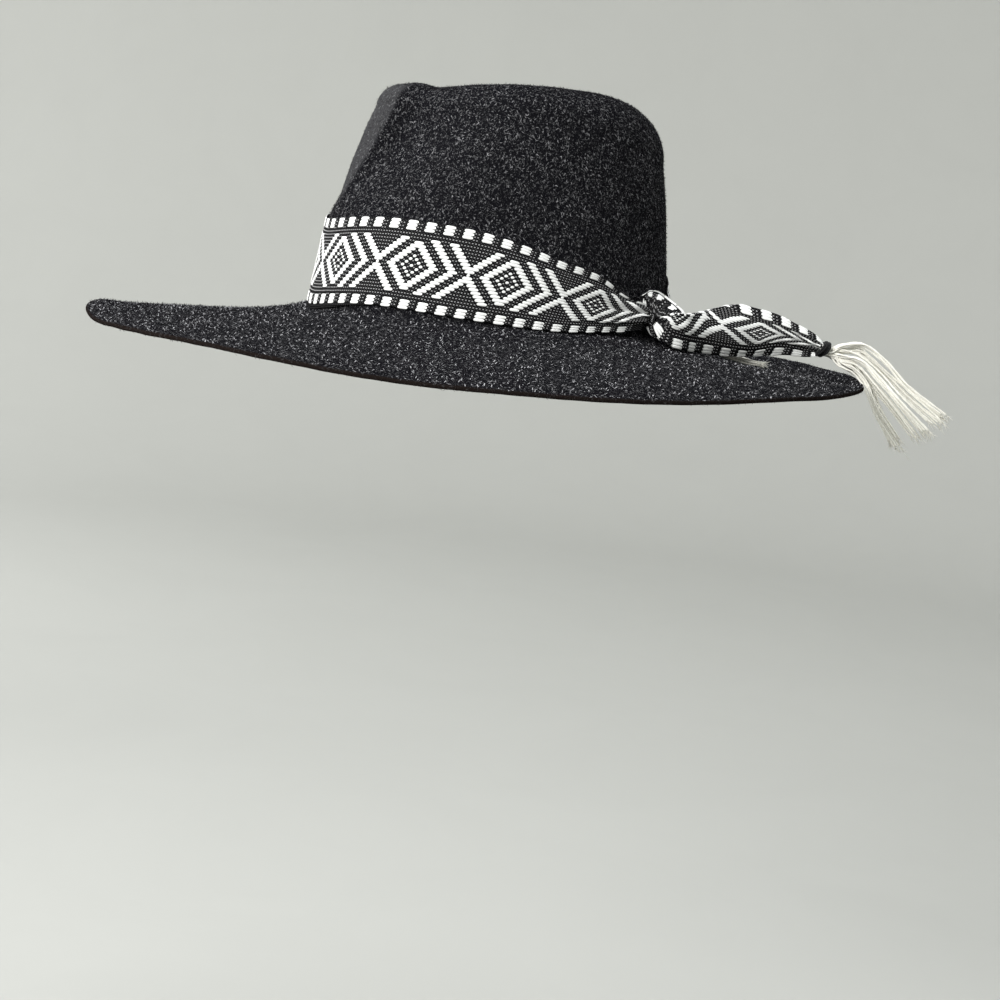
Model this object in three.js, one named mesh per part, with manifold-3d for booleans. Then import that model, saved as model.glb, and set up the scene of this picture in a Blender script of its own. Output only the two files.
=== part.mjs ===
// Wide-brim felt hat with a woven band, a knot, two tails and their tassels. Millimetres, +Z up.
// The front faces -Y and the wearer's left is +X. The origin is the centre of the head opening,
// in the plane where the crown meets the brim.
import * as THREE from "three";
import Module from "manifold-3d";

const wasm = await Module();
wasm.setup();
const { Manifold, Mesh: SolidMesh } = wasm;

// Driving dimensions
const FELT = 2.2;                 // felt wall
const AROUND = 72;                // steps round the hat
const FRONT_BUNCHING = 0.35;      // how much closer the steps stand at the front
const FOOT_FILLET = 1.5;          // crown wall to brim
const BRIM_HALF_LENGTH = 213.8;   // front to back
const BRIM_HALF_WIDTH = 201.7;    // side to side
const BRIM_SHIFT = -4.2;          // the front brim is a little longer than the back
const EDGE_BULGE = 0.7;           // rounding of the raw cut edge
const BAND_GAP = 0.45;            // between felt and band
const BAND_THICK = 1.3;
const BAND_FOOT = 1.6;            // the band's lower edge over the brim's plane
const KNOT_ANGLE = 133;           // degrees from the front round the wearer's left
const TAIL_THICK = 2.8;           // two folded layers
const WHIP_INNER = 3.4;
const WHIP_OUTER = 4.6;
const WHIP_LENGTH = 6.5;
const WHIP_SIDES = 14;
const CORE = 2.9;                 // bundle inside a whipping
const GAP = 0.35;                 // between loose pieces

// Crown wall: half sizes of the outer face at each height
const CROWN_LEVELS = [
  { z: 0, front: 100.8, rear: 100.8, side: 86.0 },
  { z: 25, front: 97.3, rear: 97.3, side: 83.2 },
  { z: 47, front: 94.3, rear: 94.5, side: 80.6 },
  { z: 58, front: 91.0, rear: 93.1, side: 79.2 },
  { z: 72, front: 86.4, rear: 91.2, side: 77.3 },
  { z: 85, front: 81.8, rear: 89.0, side: 75.2 },
  { z: 98, front: 77.8, rear: 86.0, side: 72.6 },
  { z: 106, front: 74.6, rear: 83.4, side: 70.6 },
];

// Waves round the hat: value = mean + one cos(a) + two cos(2a) + three cos(3a) + four cos(4a)
const WAVES = {
  crestHeight: { mean: 122.6, one: -3.2, two: -1.9, three: 0, four: 0 },
  shoulderDrop: { mean: 21.0, one: -10.0, two: 2.0, three: 0, four: 0 },
  shoulderInset: { mean: 23.8, one: -11.0, two: 2.2, three: 0, four: 0 },
  brimEdge: { mean: -16.8, one: -1.6, two: 1.1, three: 2.2, four: -0.7 },
  brimBow: { mean: -2.0, one: -0.3, two: -2.0, three: 0, four: 0 },
};
const NOSE_RISE = 1.9;            // the front of the crest between the creases
const FOOT_DIP = 4.6;             // the crown's foot and the band dip at the front and the back
const DIP_SHARPNESS = 10;

// Brim section from the crown's foot (0) to the edge (1): share of the edge's drop
const BRIM_SECTION = [
  { out: 0, drop: 0 },
  { out: 0.08, drop: 0.18 },
  { out: 0.25, drop: 0.34 },
  { out: 0.5, drop: 0.5 },
  { out: 0.75, drop: 0.68 },
  { out: 0.89, drop: 0.83 },
  { out: 1, drop: 1 },
];

// Front pinch: angle of the crease beside the front face, and the dent's depth behind it
const PINCH = [
  { z: 46, crease: 0, depth: 0 },
  { z: 60, crease: 3, depth: 2.6 },
  { z: 75, crease: 8, depth: 6.0 },
  { z: 92, crease: 13, depth: 8.4 },
  { z: 108, crease: 16, depth: 8.2 },
  { z: 124, crease: 17, depth: 6.0 },
];
const DENT_FALL = 13;             // degrees from the crease to the full depth
const DENT_END = 74;              // degrees from the front, where the wall is whole again

// Teardrop in the top: rings as shares of the crest curve, and the hollow's depth
const TOP_DEPTH = 21;
const TOP_CENTRE = { x: 0, y: 8 };
const TOP_POINT = 0.45;           // how much the hollow draws to a point at the front
const TOP_RINGS = [0.2, 0.42, 0.62, 0.8, 0.93];
const SHOULDER_STEPS = 4;
const WALL_STEPS = [0.88, 0.74, 0.6, 0.47, 0.34, 0.16, 0];
const FILLET_STEPS = 2;

// Band: heights of the upper and lower edges round the crown, gathered at the knot
const BAND_EDGES = [
  { angle: 0, top: 46.8, foot: 0 },
  { angle: 35, top: 48.6, foot: 0 },
  { angle: 62, top: 47.0, foot: 0 },
  { angle: 78, top: 43.0, foot: 0 },
  { angle: 95, top: 35.4, foot: 0 },
  { angle: 108, top: 30.2, foot: 0.4 },
  { angle: 121, top: 22.8, foot: 1.6 },
  { angle: 133, top: 19.6, foot: 3.0 },
  { angle: 147, top: 22.8, foot: 1.6 },
  { angle: 165, top: 34.0, foot: 0.4 },
  { angle: 185, top: 43.0, foot: 0 },
  { angle: 215, top: 47.2, foot: 0 },
  { angle: 360, top: 46.8, foot: 0 },
];
const BAND_ROWS = 3;

// Tails: centre line, height of the folded leaf, and how far it is cupped outward
const FRONT_TAIL = [
  { x: 75.2, y: 87.0, z: 6.4, tall: 14.0, cup: 1.6 },
  { x: 73.6, y: 95.0, z: 7.4, tall: 19.5, cup: 3.0 },
  { x: 73.0, y: 104.0, z: 8.2, tall: 23.0, cup: 4.4 },
  { x: 72.6, y: 115.0, z: 9.4, tall: 25.4, cup: 5.4 },
  { x: 72.4, y: 126.0, z: 9.6, tall: 25.4, cup: 5.4 },
  { x: 72.4, y: 138.0, z: 8.6, tall: 22.4, cup: 4.6 },
  { x: 72.6, y: 150.0, z: 6.6, tall: 17.6, cup: 3.2 },
  { x: 72.8, y: 160.0, z: 4.7, tall: 11.6, cup: 1.8 },
  { x: 73.0, y: 165.0, z: 3.6, tall: 5.6, cup: 0.8 },
  { x: 73.1, y: 169.8, z: 2.6, tall: 4.8, cup: 0.8 },
];
// Tassel locks: points after the whipping, then the lock's half thickness at root and tip
const FRONT_LOCKS = [
  { path: [[76.7, 181.4, 6.2], [80.4, 191, 6.4], [85, 203, -1.6], [97, 238, -28]], root: 1.9, tip: 1.1 },
  { path: [[75.9, 181, 5.2], [79.2, 191, 4.2], [84, 203.5, -5], [95, 232, -32]], root: 2.0, tip: 1.2 },
  { path: [[78.6, 180.6, 4.0], [84, 190.5, 3.0], [88.5, 201, -7], [98, 224, -36]], root: 2.0, tip: 1.2 },
  { path: [[77.6, 181, 2.9], [83.2, 191.5, 0.4], [87.6, 201, -10], [93.5, 221, -38]], root: 2.1, tip: 1.2 },
  { path: [[75.6, 181, 2.7], [78.6, 191.5, 0.6], [82.6, 201.6, -9], [90.5, 223, -37]], root: 2.1, tip: 1.2 },
  { path: [[77.6, 181, 0.9], [81.8, 191.6, -5], [85.2, 200.2, -16], [89.5, 214, -44]], root: 2.0, tip: 1.2 },
  { path: [[75, 181, 0.6], [77.4, 191.6, -4], [80.6, 200.4, -14.5], [86.8, 212.6, -46]], root: 2, tip: 1.2 },
];
const FELT_CLOTH = new THREE.MeshStandardMaterial({ color: 0x2f2f33, roughness: 0.95, metalness: 0 });
const WOVEN = new THREE.MeshStandardMaterial({ color: 0x8a8884, roughness: 0.85, metalness: 0 });
const THREAD = new THREE.MeshStandardMaterial({ color: 0x1b1b1d, roughness: 0.8, metalness: 0 });
const CREAM = new THREE.MeshStandardMaterial({ color: 0xf0ebdf, roughness: 0.85, metalness: 0 });

const radians = THREE.MathUtils.degToRad;
const smooth = (value, from, to) => THREE.MathUtils.smoothstep(value, from, to);

// The named column of a table at a key, with an even cubic between its rows.
function column(rows, key, at, name) {
  const last = rows.length - 1;
  let i = 0;
  while (i < last - 1 && at > rows[i + 1][key]) i += 1;
  const slope = (k) => {
    const a = rows[Math.max(k - 1, 0)];
    const b = rows[Math.min(k + 1, last)];
    return (b[name] - a[name]) / (b[key] - a[key]);
  };
  const span = rows[i + 1][key] - rows[i][key];
  const t = THREE.MathUtils.clamp((at - rows[i][key]) / span, 0, 1);
  const [t2, t3] = [t * t, t * t * t];
  return (2 * t3 - 3 * t2 + 1) * rows[i][name] + (t3 - 2 * t2 + t) * span * slope(i)
    + (3 * t2 - 2 * t3) * rows[i + 1][name] + (t3 - t2) * span * slope(i + 1);
}

function wave(name, angle) {
  const w = WAVES[name];
  return w.mean + w.one * Math.cos(angle) + w.two * Math.cos(2 * angle)
    + w.three * Math.cos(3 * angle) + w.four * Math.cos(4 * angle);
}

// Angle of a step round the hat, from the front over the wearer's left.
function stepAngle(step) {
  const t = (2 * Math.PI * step) / AROUND;
  return t - FRONT_BUNCHING * Math.sin(t);
}

// How far the front pinch draws the wall in at an angle and height.
function pinch(angle, z) {
  const off = Math.abs(THREE.MathUtils.radToDeg(Math.atan2(Math.sin(angle), Math.cos(angle))));
  const crease = column(PINCH, "z", z, "crease");
  const depth = z < PINCH[0].z ? 0 : column(PINCH, "z", z, "depth");
  const full = crease + DENT_FALL;
  return depth * smooth(off, crease, full) * (1 - smooth(off, full + 4, DENT_END));
}

// Height of the crest: a little higher between the front creases.
function crestHeight(angle) {
  const off = Math.abs(THREE.MathUtils.radToDeg(Math.atan2(Math.sin(angle), Math.cos(angle))));
  return wave("crestHeight", angle) + NOSE_RISE * (1 - smooth(off, 15, 27));
}

// Height of the crown's foot: level at the sides, lower at the front and the back.
function footHeight(angle) {
  return -FOOT_DIP * Math.cos(angle) ** DIP_SHARPNESS;
}

// Outer face of the crown's wall. The pinch can be left out, in part or whole.
function wallPoint(angle, z, pinched = 1) {
  const side = column(CROWN_LEVELS, "z", z, "side");
  const length = column(CROWN_LEVELS, "z", z, Math.cos(angle) > 0 ? "front" : "rear");
  const point = new THREE.Vector3(side * Math.sin(angle), -length * Math.cos(angle), z);
  const out = outward(angle);
  return point.addScaledVector(out, -pinch(angle, z) * pinched);
}

function outward(angle) {
  const base = CROWN_LEVELS[0];
  return new THREE.Vector3(Math.sin(angle) / base.side, -Math.cos(angle) / base.rear, 0).normalize();
}

// Shoulder from the wall (0) over to the crest of the top (1).
function shoulderPoint(angle, share, pinched = 1) {
  const drop = wave("shoulderDrop", angle);
  const inset = wave("shoulderInset", angle);
  const crest = crestHeight(angle);
  const turn = share * Math.PI * 0.5;
  const wall = wallPoint(angle, crest - drop, pinched);
  wall.addScaledVector(outward(angle), -inset * (1 - Math.cos(turn)));
  wall.z = crest - drop * (1 - Math.sin(turn));
  return wall;
}

// Hollow of the top, from its centre (0) to the crest (1).
function topPoint(angle, share) {
  const crest = shoulderPoint(angle, 1, share ** 4);
  const narrow = 1 - TOP_POINT * (1 - share ** 3) * Math.max(Math.cos(angle), 0) ** 2;
  const x = TOP_CENTRE.x + (crest.x - TOP_CENTRE.x) * share * narrow;
  const y = TOP_CENTRE.y + (crest.y - TOP_CENTRE.y) * share;
  const rim = THREE.MathUtils.lerp(WAVES.crestHeight.mean, crest.z, share * share);
  return new THREE.Vector3(x, y, rim - TOP_DEPTH * 0.5 * (1 + Math.cos(Math.PI * share ** 1.15)));
}

function filletPoint(angle, share) {
  const turn = share * Math.PI * 0.5;
  const point = wallPoint(angle, 0);
  point.addScaledVector(outward(angle), FOOT_FILLET * (1 - Math.cos(turn)));
  point.z = footHeight(angle) + FOOT_FILLET * (1 - Math.sin(turn));
  return point;
}

// Upper face of the brim, from the crown's foot (0) to the edge (1).
function brimPoint(angle, out) {
  const foot = filletPoint(angle, 1);
  const x = THREE.MathUtils.lerp(foot.x, BRIM_HALF_WIDTH * Math.sin(angle), out);
  const y = THREE.MathUtils.lerp(foot.y, BRIM_SHIFT - BRIM_HALF_LENGTH * Math.cos(angle), out);
  const drop = column(BRIM_SECTION, "out", out, "drop");
  const bow = wave("brimBow", angle) * 4 * out * (1 - out);
  return new THREE.Vector3(x, y, THREE.MathUtils.lerp(foot.z, wave("brimEdge", angle), drop) + bow);
}

// Height of the brim's upper face at a place in plan.
function brimHeight(x, y) {
  let [near, far, angle] = [0, 1, 0];
  for (let i = 0; i < 24; i += 1) {
    const out = (near + far) / 2;
    const base = CROWN_LEVELS[0];
    const wide = THREE.MathUtils.lerp(base.side + FOOT_FILLET, BRIM_HALF_WIDTH, out);
    const long = THREE.MathUtils.lerp(base.rear + FOOT_FILLET, BRIM_HALF_LENGTH, out);
    const deep = y - BRIM_SHIFT * out;
    angle = Math.atan2(x / wide, -deep / long);
    if ((x / wide) ** 2 + (deep / long) ** 2 > 1) near = out;
    else far = out;
  }
  return brimPoint(angle, near).z;
}

// Rows of a table set over the brim by their lift.
function laidOnBrim(rows) {
  return rows.map((row) => ({ ...row, z: brimHeight(row.x, row.y) + row.lift }));
}

// The second, shorter tail, behind the first
const BACK_TAIL = laidOnBrim([
  { x: 63.6, y: 88.5, z: 0, lift: 6.0, tall: 9.0, cup: 1.2 },
  { x: 62.2, y: 94.0, z: 0, lift: 6.3, tall: 10.5, cup: 1.6 },
  { x: 61.2, y: 99.5, z: 0, lift: 5.9, tall: 8.6, cup: 1.2 },
  { x: 60.6, y: 104.0, z: 0, lift: 5.5, tall: 5.2, cup: 0.8 },
  { x: 60.2, y: 109.0, z: 0, lift: 5.2, tall: 4.8, cup: 0.8 },
]);

const BACK_LOCKS = [
  { across: -5, root: 1.9, tip: 1.1 },
  { across: 0, root: 2.0, tip: 1.1 },
  { across: 5, root: 1.9, tip: 1.1 },
].map(({ across, root, tip }) => ({
  path: laidOnBrim([
    { x: 59.6 + across * 0.3, y: 118, lift: 3.6 },
    { x: 58.6 + across * 0.75, y: 130, lift: 2.5 },
    { x: 57.4 + across * 1.3, y: 145 - Math.abs(across) * 0.6, lift: 2.0 },
  ]).map(({ x, y, z }) => [x, y, z]),
  root,
  tip,
}));

// Closed solid from loops of equal length: the first and last are capped from their middle.
function loft(loops) {
  const count = loops[0].length;
  const points = loops.flat();
  const index = [];
  for (let k = 0; k < loops.length - 1; k += 1) {
    for (let i = 0; i < count; i += 1) {
      const [a, b] = [k * count + i, k * count + ((i + 1) % count)];
      index.push(a, b, b + count, a, b + count, a + count);
    }
  }
  for (const [k, flip] of [[0, true], [loops.length - 1, false]]) {
    const middle = new THREE.Vector3();
    loops[k].forEach((p) => middle.addScaledVector(p, 1 / count));
    const hub = points.push(middle) - 1;
    for (let i = 0; i < count; i += 1) {
      const [a, b] = [k * count + i, k * count + ((i + 1) % count)];
      if (flip) index.push(hub, b, a);
      else index.push(hub, a, b);
    }
  }
  return toGeometry(points, index);
}

// Closed ring from sections placed round a circle, each a closed loop.
function ringLoft(sections) {
  const count = sections[0].length;
  const points = sections.flat();
  const index = [];
  sections.forEach((_, k) => {
    const next = (k + 1) % sections.length;
    for (let i = 0; i < count; i += 1) {
      const j = (i + 1) % count;
      const [a, b] = [k * count + i, k * count + j];
      const [c, d] = [next * count + j, next * count + i];
      index.push(a, c, b, a, d, c);
    }
  });
  return toGeometry(points, index);
}

function toGeometry(points, index) {
  const geometry = new THREE.BufferGeometry().setFromPoints(points);
  geometry.setIndex(index);
  geometry.computeVertexNormals();
  return geometry;
}

// Felt body: the outer face's rings from the top's middle to the brim's edge, the same rings set
// in by the felt's thickness, and the cut edge between them.
function feltRings() {
  const makers = [
    ...TOP_RINGS.map((share) => (angle) => topPoint(angle, share)),
    ...Array.from({ length: SHOULDER_STEPS + 1 },
      (_, k) => (angle) => shoulderPoint(angle, 1 - k / SHOULDER_STEPS)),
    ...WALL_STEPS.map((share) => (angle) => {
      const top = crestHeight(angle) - wave("shoulderDrop", angle);
      return wallPoint(angle, THREE.MathUtils.lerp(footHeight(angle) + FOOT_FILLET, top, share));
    }),
    ...Array.from({ length: FILLET_STEPS }, (_, k) => (angle) => filletPoint(angle, (k + 1) / FILLET_STEPS)),
    ...BRIM_SECTION.slice(1).map(({ out }) => (angle) => brimPoint(angle, out)),
  ];
  return makers.map((make) => Array.from({ length: AROUND }, (_, i) => make(stepAngle(i))));
}

function setIn(rings) {
  const last = rings.length - 1;
  return rings.map((ring, k) => ring.map((point, i) => {
    const along = new THREE.Vector3().subVectors(ring[(i + 1) % AROUND], ring[(i + AROUND - 1) % AROUND]);
    const across = rings[Math.min(k + 1, last)][i].clone().sub(rings[Math.max(k - 1, 0)][i]);
    const normal = across.cross(along).normalize();
    return point.clone().addScaledVector(normal, -FELT);
  }));
}

function feltBody() {
  const outer = feltRings();
  const inner = setIn(outer);
  const edge = outer.length - 1;
  const cut = outer[edge].map((point, i) => {
    const foot = outer[edge - 1][i];
    const away = new THREE.Vector3(point.x - foot.x, point.y - foot.y, 0).normalize();
    return point.clone().add(inner[edge][i]).multiplyScalar(0.5).addScaledVector(away, EDGE_BULGE);
  });
  return loft([...inner, cut, ...outer.reverse()]);
}

// Band: a ring whose section follows the wall, with shallow pleats where it is gathered.
function hatBand() {
  const sections = Array.from({ length: AROUND }, (_, i) => {
    const angle = stepAngle(i);
    const degrees = THREE.MathUtils.radToDeg(angle);
    const dip = footHeight(angle);
    const top = dip + column(BAND_EDGES, "angle", degrees, "top");
    const foot = dip + BAND_FOOT + column(BAND_EDGES, "angle", degrees, "foot");
    const gathered = 1 - smooth(Math.abs(degrees - KNOT_ANGLE), 12, 40);
    const out = outward(angle);
    const face = (share, lift) => {
      const point = wallPoint(angle, THREE.MathUtils.lerp(foot, top, share));
      const pleat = gathered * 1.1 * Math.sin(Math.PI * share * 3) ** 2;
      return point.addScaledVector(out, BAND_GAP + (lift ? BAND_THICK + pleat : 0));
    };
    const shares = Array.from({ length: BAND_ROWS + 1 }, (_, k) => k / BAND_ROWS);
    return [...shares.map((s) => face(s, true)), ...shares.reverse().map((s) => face(s, false))];
  });
  return ringLoft(sections);
}

// Knot: a wrapped lump of the band against the crown, with folds that run round it.
function bandKnot() {
  const angle = radians(KNOT_ANGLE);
  const out = outward(angle);
  const along = new THREE.Vector3(-out.y, out.x, 0);
  const skin = BAND_GAP + BAND_THICK + 1.1 + GAP;
  const half = { along: 14.2, out: 10, up: 13.2 };
  const centre = wallPoint(angle, 12.4).addScaledVector(out, skin + half.out - 2.5);
  const loops = [];
  const steps = { rings: 12, round: 22 };
  for (let k = 1; k < steps.rings; k += 1) {
    const tilt = -Math.PI / 2 + (Math.PI * k) / steps.rings;
    loops.push(Array.from({ length: steps.round }, (_, i) => {
      const turn = (2 * Math.PI * i) / steps.round;
      const fold = 1 + 0.05 * Math.sin(4 * turn + 3 * tilt);
      const a = half.along * Math.cos(tilt) ** 0.7 * Math.cos(turn) * fold;
      const o = half.out * Math.cos(tilt) ** 0.7 * Math.sin(turn) * fold;
      return centre.clone().addScaledVector(along, a).addScaledVector(out, Math.max(o, 2.5 - half.out))
        .add(new THREE.Vector3(0, 0, half.up * Math.sin(tilt)));
    }));
  }
  return loft(loops.reverse());
}

// Frame of a path at each row: position, direction, an outward and an upward axis.
function pathFrames(rows) {
  const points = rows.map((row) => new THREE.Vector3(row.x, row.y, row.z));
  return points.map((point, k) => {
    const before = points[Math.max(k - 1, 0)];
    const after = points[Math.min(k + 1, points.length - 1)];
    const ahead = new THREE.Vector3().subVectors(after, before).normalize();
    const side = new THREE.Vector3().crossVectors(ahead, new THREE.Vector3(0, 0, 1)).normalize();
    const up = new THREE.Vector3().crossVectors(side, ahead).normalize();
    return { point, ahead, side, up };
  });
}

// Tail: a folded leaf of band, cupped outward, drawn to a round core at the whipping.
function bandTail(rows) {
  const across = 5;
  return loft(pathFrames(rows).map(({ point, side, up }, k) => {
    const { tall, cup } = rows[k];
    const thick = Math.min(TAIL_THICK, tall * 0.5);
    const place = (share, layer) => {
      const lean = cup * (1 - (2 * share - 1) ** 2) - cup * 0.5 + layer * thick * 0.5;
      const taper = layer * -0.12 * thick * Math.abs(2 * share - 1);
      return point.clone().addScaledVector(up, (share - 0.5) * tall).addScaledVector(side, lean + taper);
    };
    const shares = Array.from({ length: across + 1 }, (_, i) => i / across);
    return [...shares.map((s) => place(s, -1)), ...shares.reverse().map((s) => place(s, 1))];
  }));
}

// Whipping: thread wound in three turns round a tail's end.
function whipping(rows) {
  const { point, ahead } = pathFrames(rows).at(-1);
  const turns = 3;
  const profile = [];
  for (let k = 0; k <= turns * 2; k += 1) {
    const bump = k % 2 === 0 ? 0.35 : 0;
    profile.push(new THREE.Vector2(WHIP_OUTER - bump, WHIP_LENGTH * (k / (turns * 2) - 0.5)));
  }
  profile.push(new THREE.Vector2(WHIP_INNER, WHIP_LENGTH * 0.5));
  profile.push(new THREE.Vector2(WHIP_INNER, -WHIP_LENGTH * 0.5));
  const sections = Array.from({ length: WHIP_SIDES }, (_, i) => {
    const turn = (2 * Math.PI * i) / WHIP_SIDES;
    return profile.map((p) => new THREE.Vector3(p.x * Math.cos(turn), p.y, -p.x * Math.sin(turn)));
  });
  const geometry = ringLoft(sections);
  geometry.applyQuaternion(new THREE.Quaternion().setFromUnitVectors(new THREE.Vector3(0, 1, 0), ahead));
  geometry.translate(point.x, point.y, point.z);
  return geometry;
}

// Round tapered tube through points, used for a lock of strands.
function lockTube(points, radii, sides) {
  const curve = new THREE.CatmullRomCurve3(points);
  const steps = 6;
  const frames = curve.computeFrenetFrames(steps, false);
  return loft(Array.from({ length: steps + 1 }, (_, k) => {
    const t = k / steps;
    const at = curve.getPointAt(t);
    const radius = THREE.MathUtils.lerp(radii[0], radii[1], t ** 1.4);
    return Array.from({ length: sides }, (_, i) => {
      const turn = (2 * Math.PI * i) / sides;
      return at.clone().addScaledVector(frames.normals[k], radius * Math.cos(turn))
        .addScaledVector(frames.binormals[k], radius * Math.sin(turn));
    });
  }));
}

function toSolid(geometry) {
  const position = geometry.getAttribute("position");
  return new Manifold(new SolidMesh({
    numProp: 3,
    vertProperties: new Float32Array(position.array),
    triVerts: new Uint32Array(geometry.getIndex().array),
  }));
}

function fromSolid(solid) {
  const mesh = solid.getMesh();
  const geometry = new THREE.BufferGeometry();
  geometry.setAttribute("position", new THREE.BufferAttribute(mesh.vertProperties, 3));
  geometry.setIndex(new THREE.BufferAttribute(mesh.triVerts, 1));
  geometry.computeVertexNormals();
  return geometry;
}

// Tassel: locks fused to a core that starts inside the whipping.
function tassel(rows, locks) {
  const { point, ahead } = pathFrames(rows).at(-1);
  const start = point.clone().addScaledVector(ahead, GAP);
  const neck = point.clone().addScaledVector(ahead, WHIP_LENGTH * 0.5 + 1.2);
  const core = lockTube([start, neck], [CORE, CORE], 10);
  const bodies = [toSolid(core)];
  for (const lock of locks) {
    const points = [
      point.clone().addScaledVector(ahead, WHIP_LENGTH * 0.5 + 0.2),
      ...lock.path.map(([x, y, z]) => new THREE.Vector3(x, y, z)),
    ];
    bodies.push(toSolid(lockTube(points, [lock.root, lock.tip], 6)));
  }
  return fromSolid(Manifold.union(bodies));
}

function piece(name, geometry, material) {
  const mesh = new THREE.Mesh(geometry, material);
  mesh.name = name;
  return mesh;
}

const hat = new THREE.Group();
hat.name = "wide_brim_felt_hat";
hat.add(
  piece("felt_body", feltBody(), FELT_CLOTH),
  piece("hat_band", hatBand(), WOVEN),
  piece("band_knot", bandKnot(), WOVEN),
  piece("band_tail", bandTail(FRONT_TAIL), WOVEN),
  piece("tail_whipping", whipping(FRONT_TAIL), THREAD),
  piece("tassel", tassel(FRONT_TAIL, FRONT_LOCKS), CREAM),
  piece("back_tail", bandTail(BACK_TAIL), WOVEN),
  piece("back_whipping", whipping(BACK_TAIL), THREAD),
  piece("back_tassel", tassel(BACK_TAIL, BACK_LOCKS), CREAM),
);

export default hat;
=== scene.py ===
# Wide-brim felt hat: the dressed model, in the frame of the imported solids. The scene is in
# metres; the shape tables below are in millimetres, with +Z up, the front at -Y and the
# wearer's left at +X.
import math

import bpy
import numpy as np
from bpy.props import FloatProperty, FloatVectorProperty, IntProperty, PointerProperty
from mathutils import Matrix, Vector


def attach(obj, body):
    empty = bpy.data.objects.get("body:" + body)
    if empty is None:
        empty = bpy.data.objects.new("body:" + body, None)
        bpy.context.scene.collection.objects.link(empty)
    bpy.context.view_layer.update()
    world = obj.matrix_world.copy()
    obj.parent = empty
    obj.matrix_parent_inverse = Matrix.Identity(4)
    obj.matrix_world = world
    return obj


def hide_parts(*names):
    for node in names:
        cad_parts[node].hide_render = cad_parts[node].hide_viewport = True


bl_info = {
    "name": "Felt Hat Maker",
    "version": (1, 0, 0),
    "blender": (4, 5, 0),
    "location": "View3D > Sidebar > Felt Hat",
    "description": "Builds the felt body, woven band, knot, tails and tassels of a wide-brim hat",
    "category": "Object",
}

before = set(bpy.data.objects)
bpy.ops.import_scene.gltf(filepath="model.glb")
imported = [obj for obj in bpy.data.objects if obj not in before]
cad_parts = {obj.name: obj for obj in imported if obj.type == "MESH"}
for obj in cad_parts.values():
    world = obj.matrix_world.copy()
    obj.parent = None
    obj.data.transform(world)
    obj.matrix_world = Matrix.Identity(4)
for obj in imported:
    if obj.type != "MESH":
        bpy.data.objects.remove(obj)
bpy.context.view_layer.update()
MM = 0.001

# Felt body
FELT = 2.2
FOOT_FILLET = 1.5
FOOT_SIDE, FOOT_REAR = 86.0, 100.8
BRIM_HALF_LENGTH, BRIM_HALF_WIDTH, BRIM_SHIFT = 213.8, 201.7, -4.2
EDGE_BULGE = 0.7
FAR_DROOP = 4.2
FOOT_DIP, DIP_SHARPNESS = 4.6, 10
NOSE_RISE = 1.9
TOP_DEPTH, TOP_POINT, TOP_BACK = 21.0, 0.45, 8.0
DENT_FALL, DENT_END = 11.0, 74.0
CUT_TINT, RIM_TINT = 0.75, 0.3  # how brown the cut edge and its two rims are
RIDGE_SHEEN, RIDGE_THINNING = 0.6, 0.3  # painted sheen on the front ridge (paler wool colour at a grazing look), and thinner nap there
PALE_SHARE = 0.45  # share of the nap's fibres that are pale

# Rings of points on the felt, from the middle of the top outward, and how they bunch at the front
FELT_AROUND = 252
TOP_ROWS, SHOULDER_ROWS, WALL_ROWS, FILLET_ROWS, BRIM_ROWS, EDGE_ROWS = 22, 13, 30, 5, 28, 9
CROWN_ROWS = TOP_ROWS + SHOULDER_ROWS + WALL_ROWS
UNDER_ROWS = 34
FRONT_BUNCHING = 0.35

# Crown and brim, by height or by turn from the front
CROWN_LEVELS = {
    "z": (0, 25, 47, 58, 72, 85, 98, 106),
    "front": (100.8, 97.3, 94.3, 91.0, 86.4, 81.8, 77.8, 74.6),
    "rear": (100.8, 97.3, 94.5, 93.1, 91.2, 89.0, 86.0, 83.4),
    "side": (86.0, 83.2, 80.6, 79.2, 77.3, 75.2, 72.6, 70.6),
}
WAVES = {  # mean, cos a, cos 2a, cos 3a, cos 4a
    "crest_height": (122.6, -3.2, -1.9),
    "shoulder_drop": (21.0, -10.0, 2.0),
    "shoulder_inset": (23.8, -11.0, 2.2),
    "brim_edge": (-16.8, -1.6, 1.1, 2.2, -0.7),
    "brim_bow": (-2.0, -0.3, -2.0),
}
EDGE_WAVE = {  # rise of the brim's edge by degrees from the front, the wearer's left being positive
    "angle": (-180, -166, -142, -110, -75, -55, -34, -20, -6, 6, 17, 31, 45, 65, 142, 166, 180),
    "rise": (4.5, 4.3, 0.2, 0, 0, 0, -0.3, 1.9, 0.6, -1.1, -0.7, 1.5, 1.4, 0.2, 0.2, 4.3, 4.5),
}
BRIM_SECTION = {
    "out": (0, 0.08, 0.25, 0.5, 0.75, 0.89, 1),
    "drop": (0, 0.18, 0.34, 0.5, 0.68, 0.83, 1),
}
PINCH = {
    "z": (46, 60, 75, 92, 108, 124),
    "crease": (0, 3, 8, 13, 16, 17),
    "depth": (0, 2.6, 6.0, 8.4, 8.2, 6.0),
}

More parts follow.
